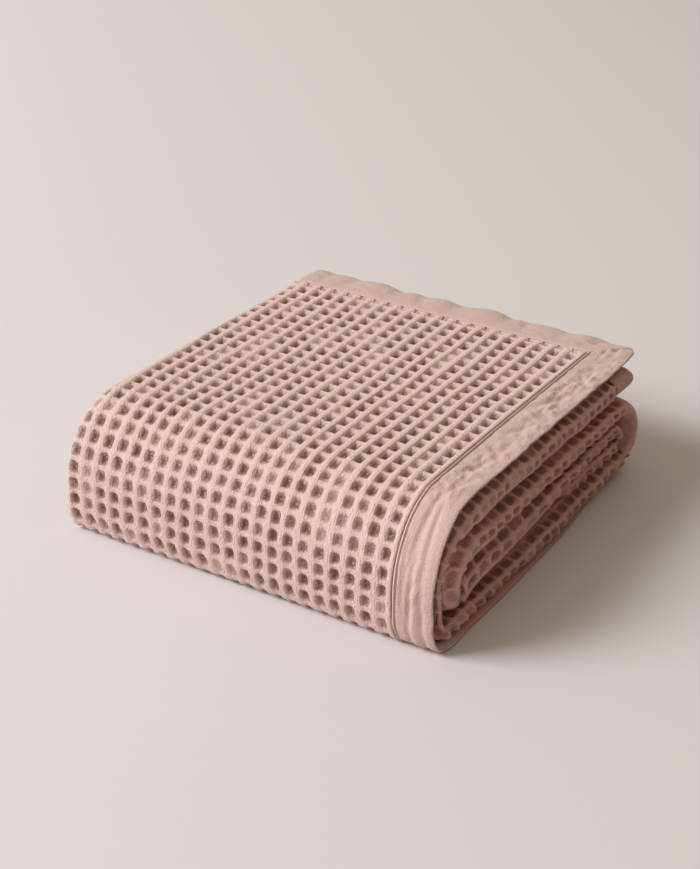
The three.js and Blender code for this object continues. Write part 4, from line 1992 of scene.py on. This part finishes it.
@dataclass(frozen=True)
class Blanket:
    """The whole blanket: panel, borders and stitching."""

    cloth: FoldedCloth = FoldedCloth()
    weave: Weave = Weave()
    relief: Relief = Relief()
    waffle_light: Colour = (0.797, 0.563, 0.503)
    plain_light: Colour = (0.662, 0.464, 0.402)
    plain_bump: float = 0.0007
    # Steps along the borders where they show, on a fold, on the floor and where they are hidden
    shown_step: float = 2.2
    fold_step: float = 2.5
    floor_step: float = 4.0
    hidden_step: float = 6.0
    coarse_step: float = 7.0
    # How far before the front and the back the right border's finer steps begin
    before_front: float = 25.0
    before_back: float = 20.0
    # Where the end borders leave layer a, reach the right-hand fold and leave it. Their sections go on to
    # past_end, which lies beyond the foot border's own end, so its hidden last corner is square, not mitred
    a_end: float = 345.0
    fold_start: float = 600.0
    fold_end: float = 720.0
    past_end: float = 1000.0
    # How far before the top the right border's puckers begin to grow
    before_top: float = 30.0

    def borders(self) -> list[Border]:
        """The four borders, finer where they show."""
        cloth = self.cloth
        shown = cloth.start_of("front low") - self.before_front
        floor = cloth.start_of("back top") - self.before_back
        right_spans = (
            Span(0, floor, self.hidden_step),
            Span(floor, shown, self.floor_step),
            Span(shown, cloth.length, self.shown_step),
        )
        head_spans = (
            Span(0, self.a_end, self.shown_step),
            Span(self.a_end, self.fold_start, self.hidden_step),
            Span(self.fold_start, self.fold_end, self.fold_step),
            Span(self.fold_end, self.past_end, self.hidden_step),
        )
        foot_spans = (
            Span(0, self.fold_start, self.coarse_step),
            Span(self.fold_start, self.fold_end, self.fold_step),
            Span(self.fold_end, self.past_end, self.coarse_step),
        )
        left_spans = (Span(0, cloth.length, self.coarse_step),)
        return [
            Border(
                cloth,
                Edge.RIGHT,
                right_spans,
                across_step=1.5,
                seed=21,
                creases=self.right_creases(),
                puckers=Puckers(height=4.4, calm_until=cloth.start_of("tier 1") - self.before_top),
                edge_wave=0.9,
            ),
            Border(cloth, Edge.LEFT, left_spans, across_step=6.0, seed=22, puckers=Puckers(height=0.2)),
            Border(
                cloth,
                Edge.HEAD,
                head_spans,
                across_step=1.6,
                seed=23,
                creases=self.head_creases(),
                puckers=Puckers(height=1.2),
                edge_wave=2.5,
            ),
            Border(cloth, Edge.FOOT, foot_spans, across_step=3.0, seed=24, puckers=Puckers(height=1.0)),
        ]

    @staticmethod
    def right_creases() -> tuple[Crease, ...]:
        """Creases of the right border: dents on top and long soft troughs round the front."""
        return (
            Crease(along=40, across=16, length=18, width=7, depth=1.7, slant=50),
            Crease(along=66, across=19, length=22, width=6, depth=1.5, slant=28),
            Crease(along=95, across=14, length=16, width=7, depth=1.5, slant=60),
            Crease(along=128, across=18, length=24, width=6, depth=1.8, slant=35),
            Crease(along=160, across=15, length=20, width=6, depth=1.6, slant=-40),
            Crease(along=196, across=19, length=26, width=6, depth=1.7, slant=25),
            Crease(along=232, across=16, length=20, width=7, depth=1.6, slant=48),
            Crease(along=268, across=20, length=30, width=6, depth=1.5, slant=15),
            Crease(along=312, across=20, length=70, width=4.5, depth=1.7, slant=5),
            Crease(along=338, across=13, length=60, width=4, depth=1.5, slant=-5),
            Crease(along=352, across=23, length=40, width=4, depth=1.2, slant=7),
            Crease(along=388, across=21, length=80, width=4, depth=1.9, slant=2),
            Crease(along=396, across=16.5, length=60, width=3.5, depth=-0.8, slant=1),
            Crease(along=404, across=10, length=60, width=4, depth=1.5, slant=-3),
            Crease(along=374, across=28, length=50, width=4, depth=1.0, slant=-2),
        )

    @staticmethod
    def head_creases() -> tuple[Crease, ...]:
        """Creases of the head border: soft troughs and ridges from the free edge towards the seam."""
        return (
            Crease(along=24, across=6, length=30, width=16, depth=1.2, slant=80),
            Crease(along=44, across=2, length=34, width=24, depth=-1.8, slant=86),
            Crease(along=66, across=6, length=34, width=15, depth=1.4, slant=78),
            Crease(along=104, across=10, length=30, width=12, depth=1.5, slant=95),
            Crease(along=121, across=3, length=34, width=14, depth=1.6, slant=80),
            Crease(along=144, across=1, length=38, width=28, depth=-2.2, slant=86),
            Crease(along=172, across=8, length=34, width=13, depth=1.3, slant=74),
            Crease(along=188, across=2, length=30, width=18, depth=-1.2, slant=90),
            Crease(along=208, across=8, length=30, width=12, depth=1.6, slant=100),
            Crease(along=232, across=3, length=36, width=15, depth=1.6, slant=82),
            Crease(along=254, across=1, length=38, width=26, depth=-2.0, slant=86),
            Crease(along=280, across=9, length=30, width=12, depth=1.5, slant=76),
            Crease(along=306, across=8, length=28, width=14, depth=1.4, slant=88),
        )

    def build(self) -> None:
        waffle = LinenFinish("waffle linen", self.waffle_light, relief=self.relief).material()
        plain = LinenFinish("plain linen", self.plain_light, bump=self.plain_bump).material()
        panel = WafflePanel(self.cloth, self.weave, self.relief)
        cloth = panel.build()
        panel.dress(cloth, waffle)
        borders = self.borders()
        strips = [border.build() for border in borders]
        for strip in strips:
            strip.data.materials.append(plain)
        stitches = Stitching().build([border.seam_line() for border in borders], plain)
        self.declare(cloth, borders, strips, stitches)

    def declare(
        self,
        cloth: bpy.types.Object,
        borders: list[Border],
        strips: list[bpy.types.Object],
        stitches: bpy.types.Object,
    ) -> None:
        """Ties the pieces to the frame, hides the imported parts that they replace and logs their triangles.

        Args:
            cloth: the waffle panel's piece.
            borders: the borders.
            strips: their pieces.
            stitches: the stitches' piece.
        """
        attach(cloth, "root")
        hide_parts("waffle_panel")
        for border, strip in zip(borders, strips):
            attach(strip, "root")
            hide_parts(border.edge.value)
            border.run * MM
        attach(stitches, "root")
        for piece in (cloth, *strips, stitches):
            piece.data.calc_loop_triangles()
            log.info("%s: %d triangles", piece.name, len(piece.data.loop_triangles))


def main() -> None:
    """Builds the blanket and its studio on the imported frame."""
    logging.basicConfig(level=logging.INFO, format="%(name)s: %(message)s")
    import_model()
    Blanket().build()
    Studio().build()


if __name__ == "__main__":
    main()
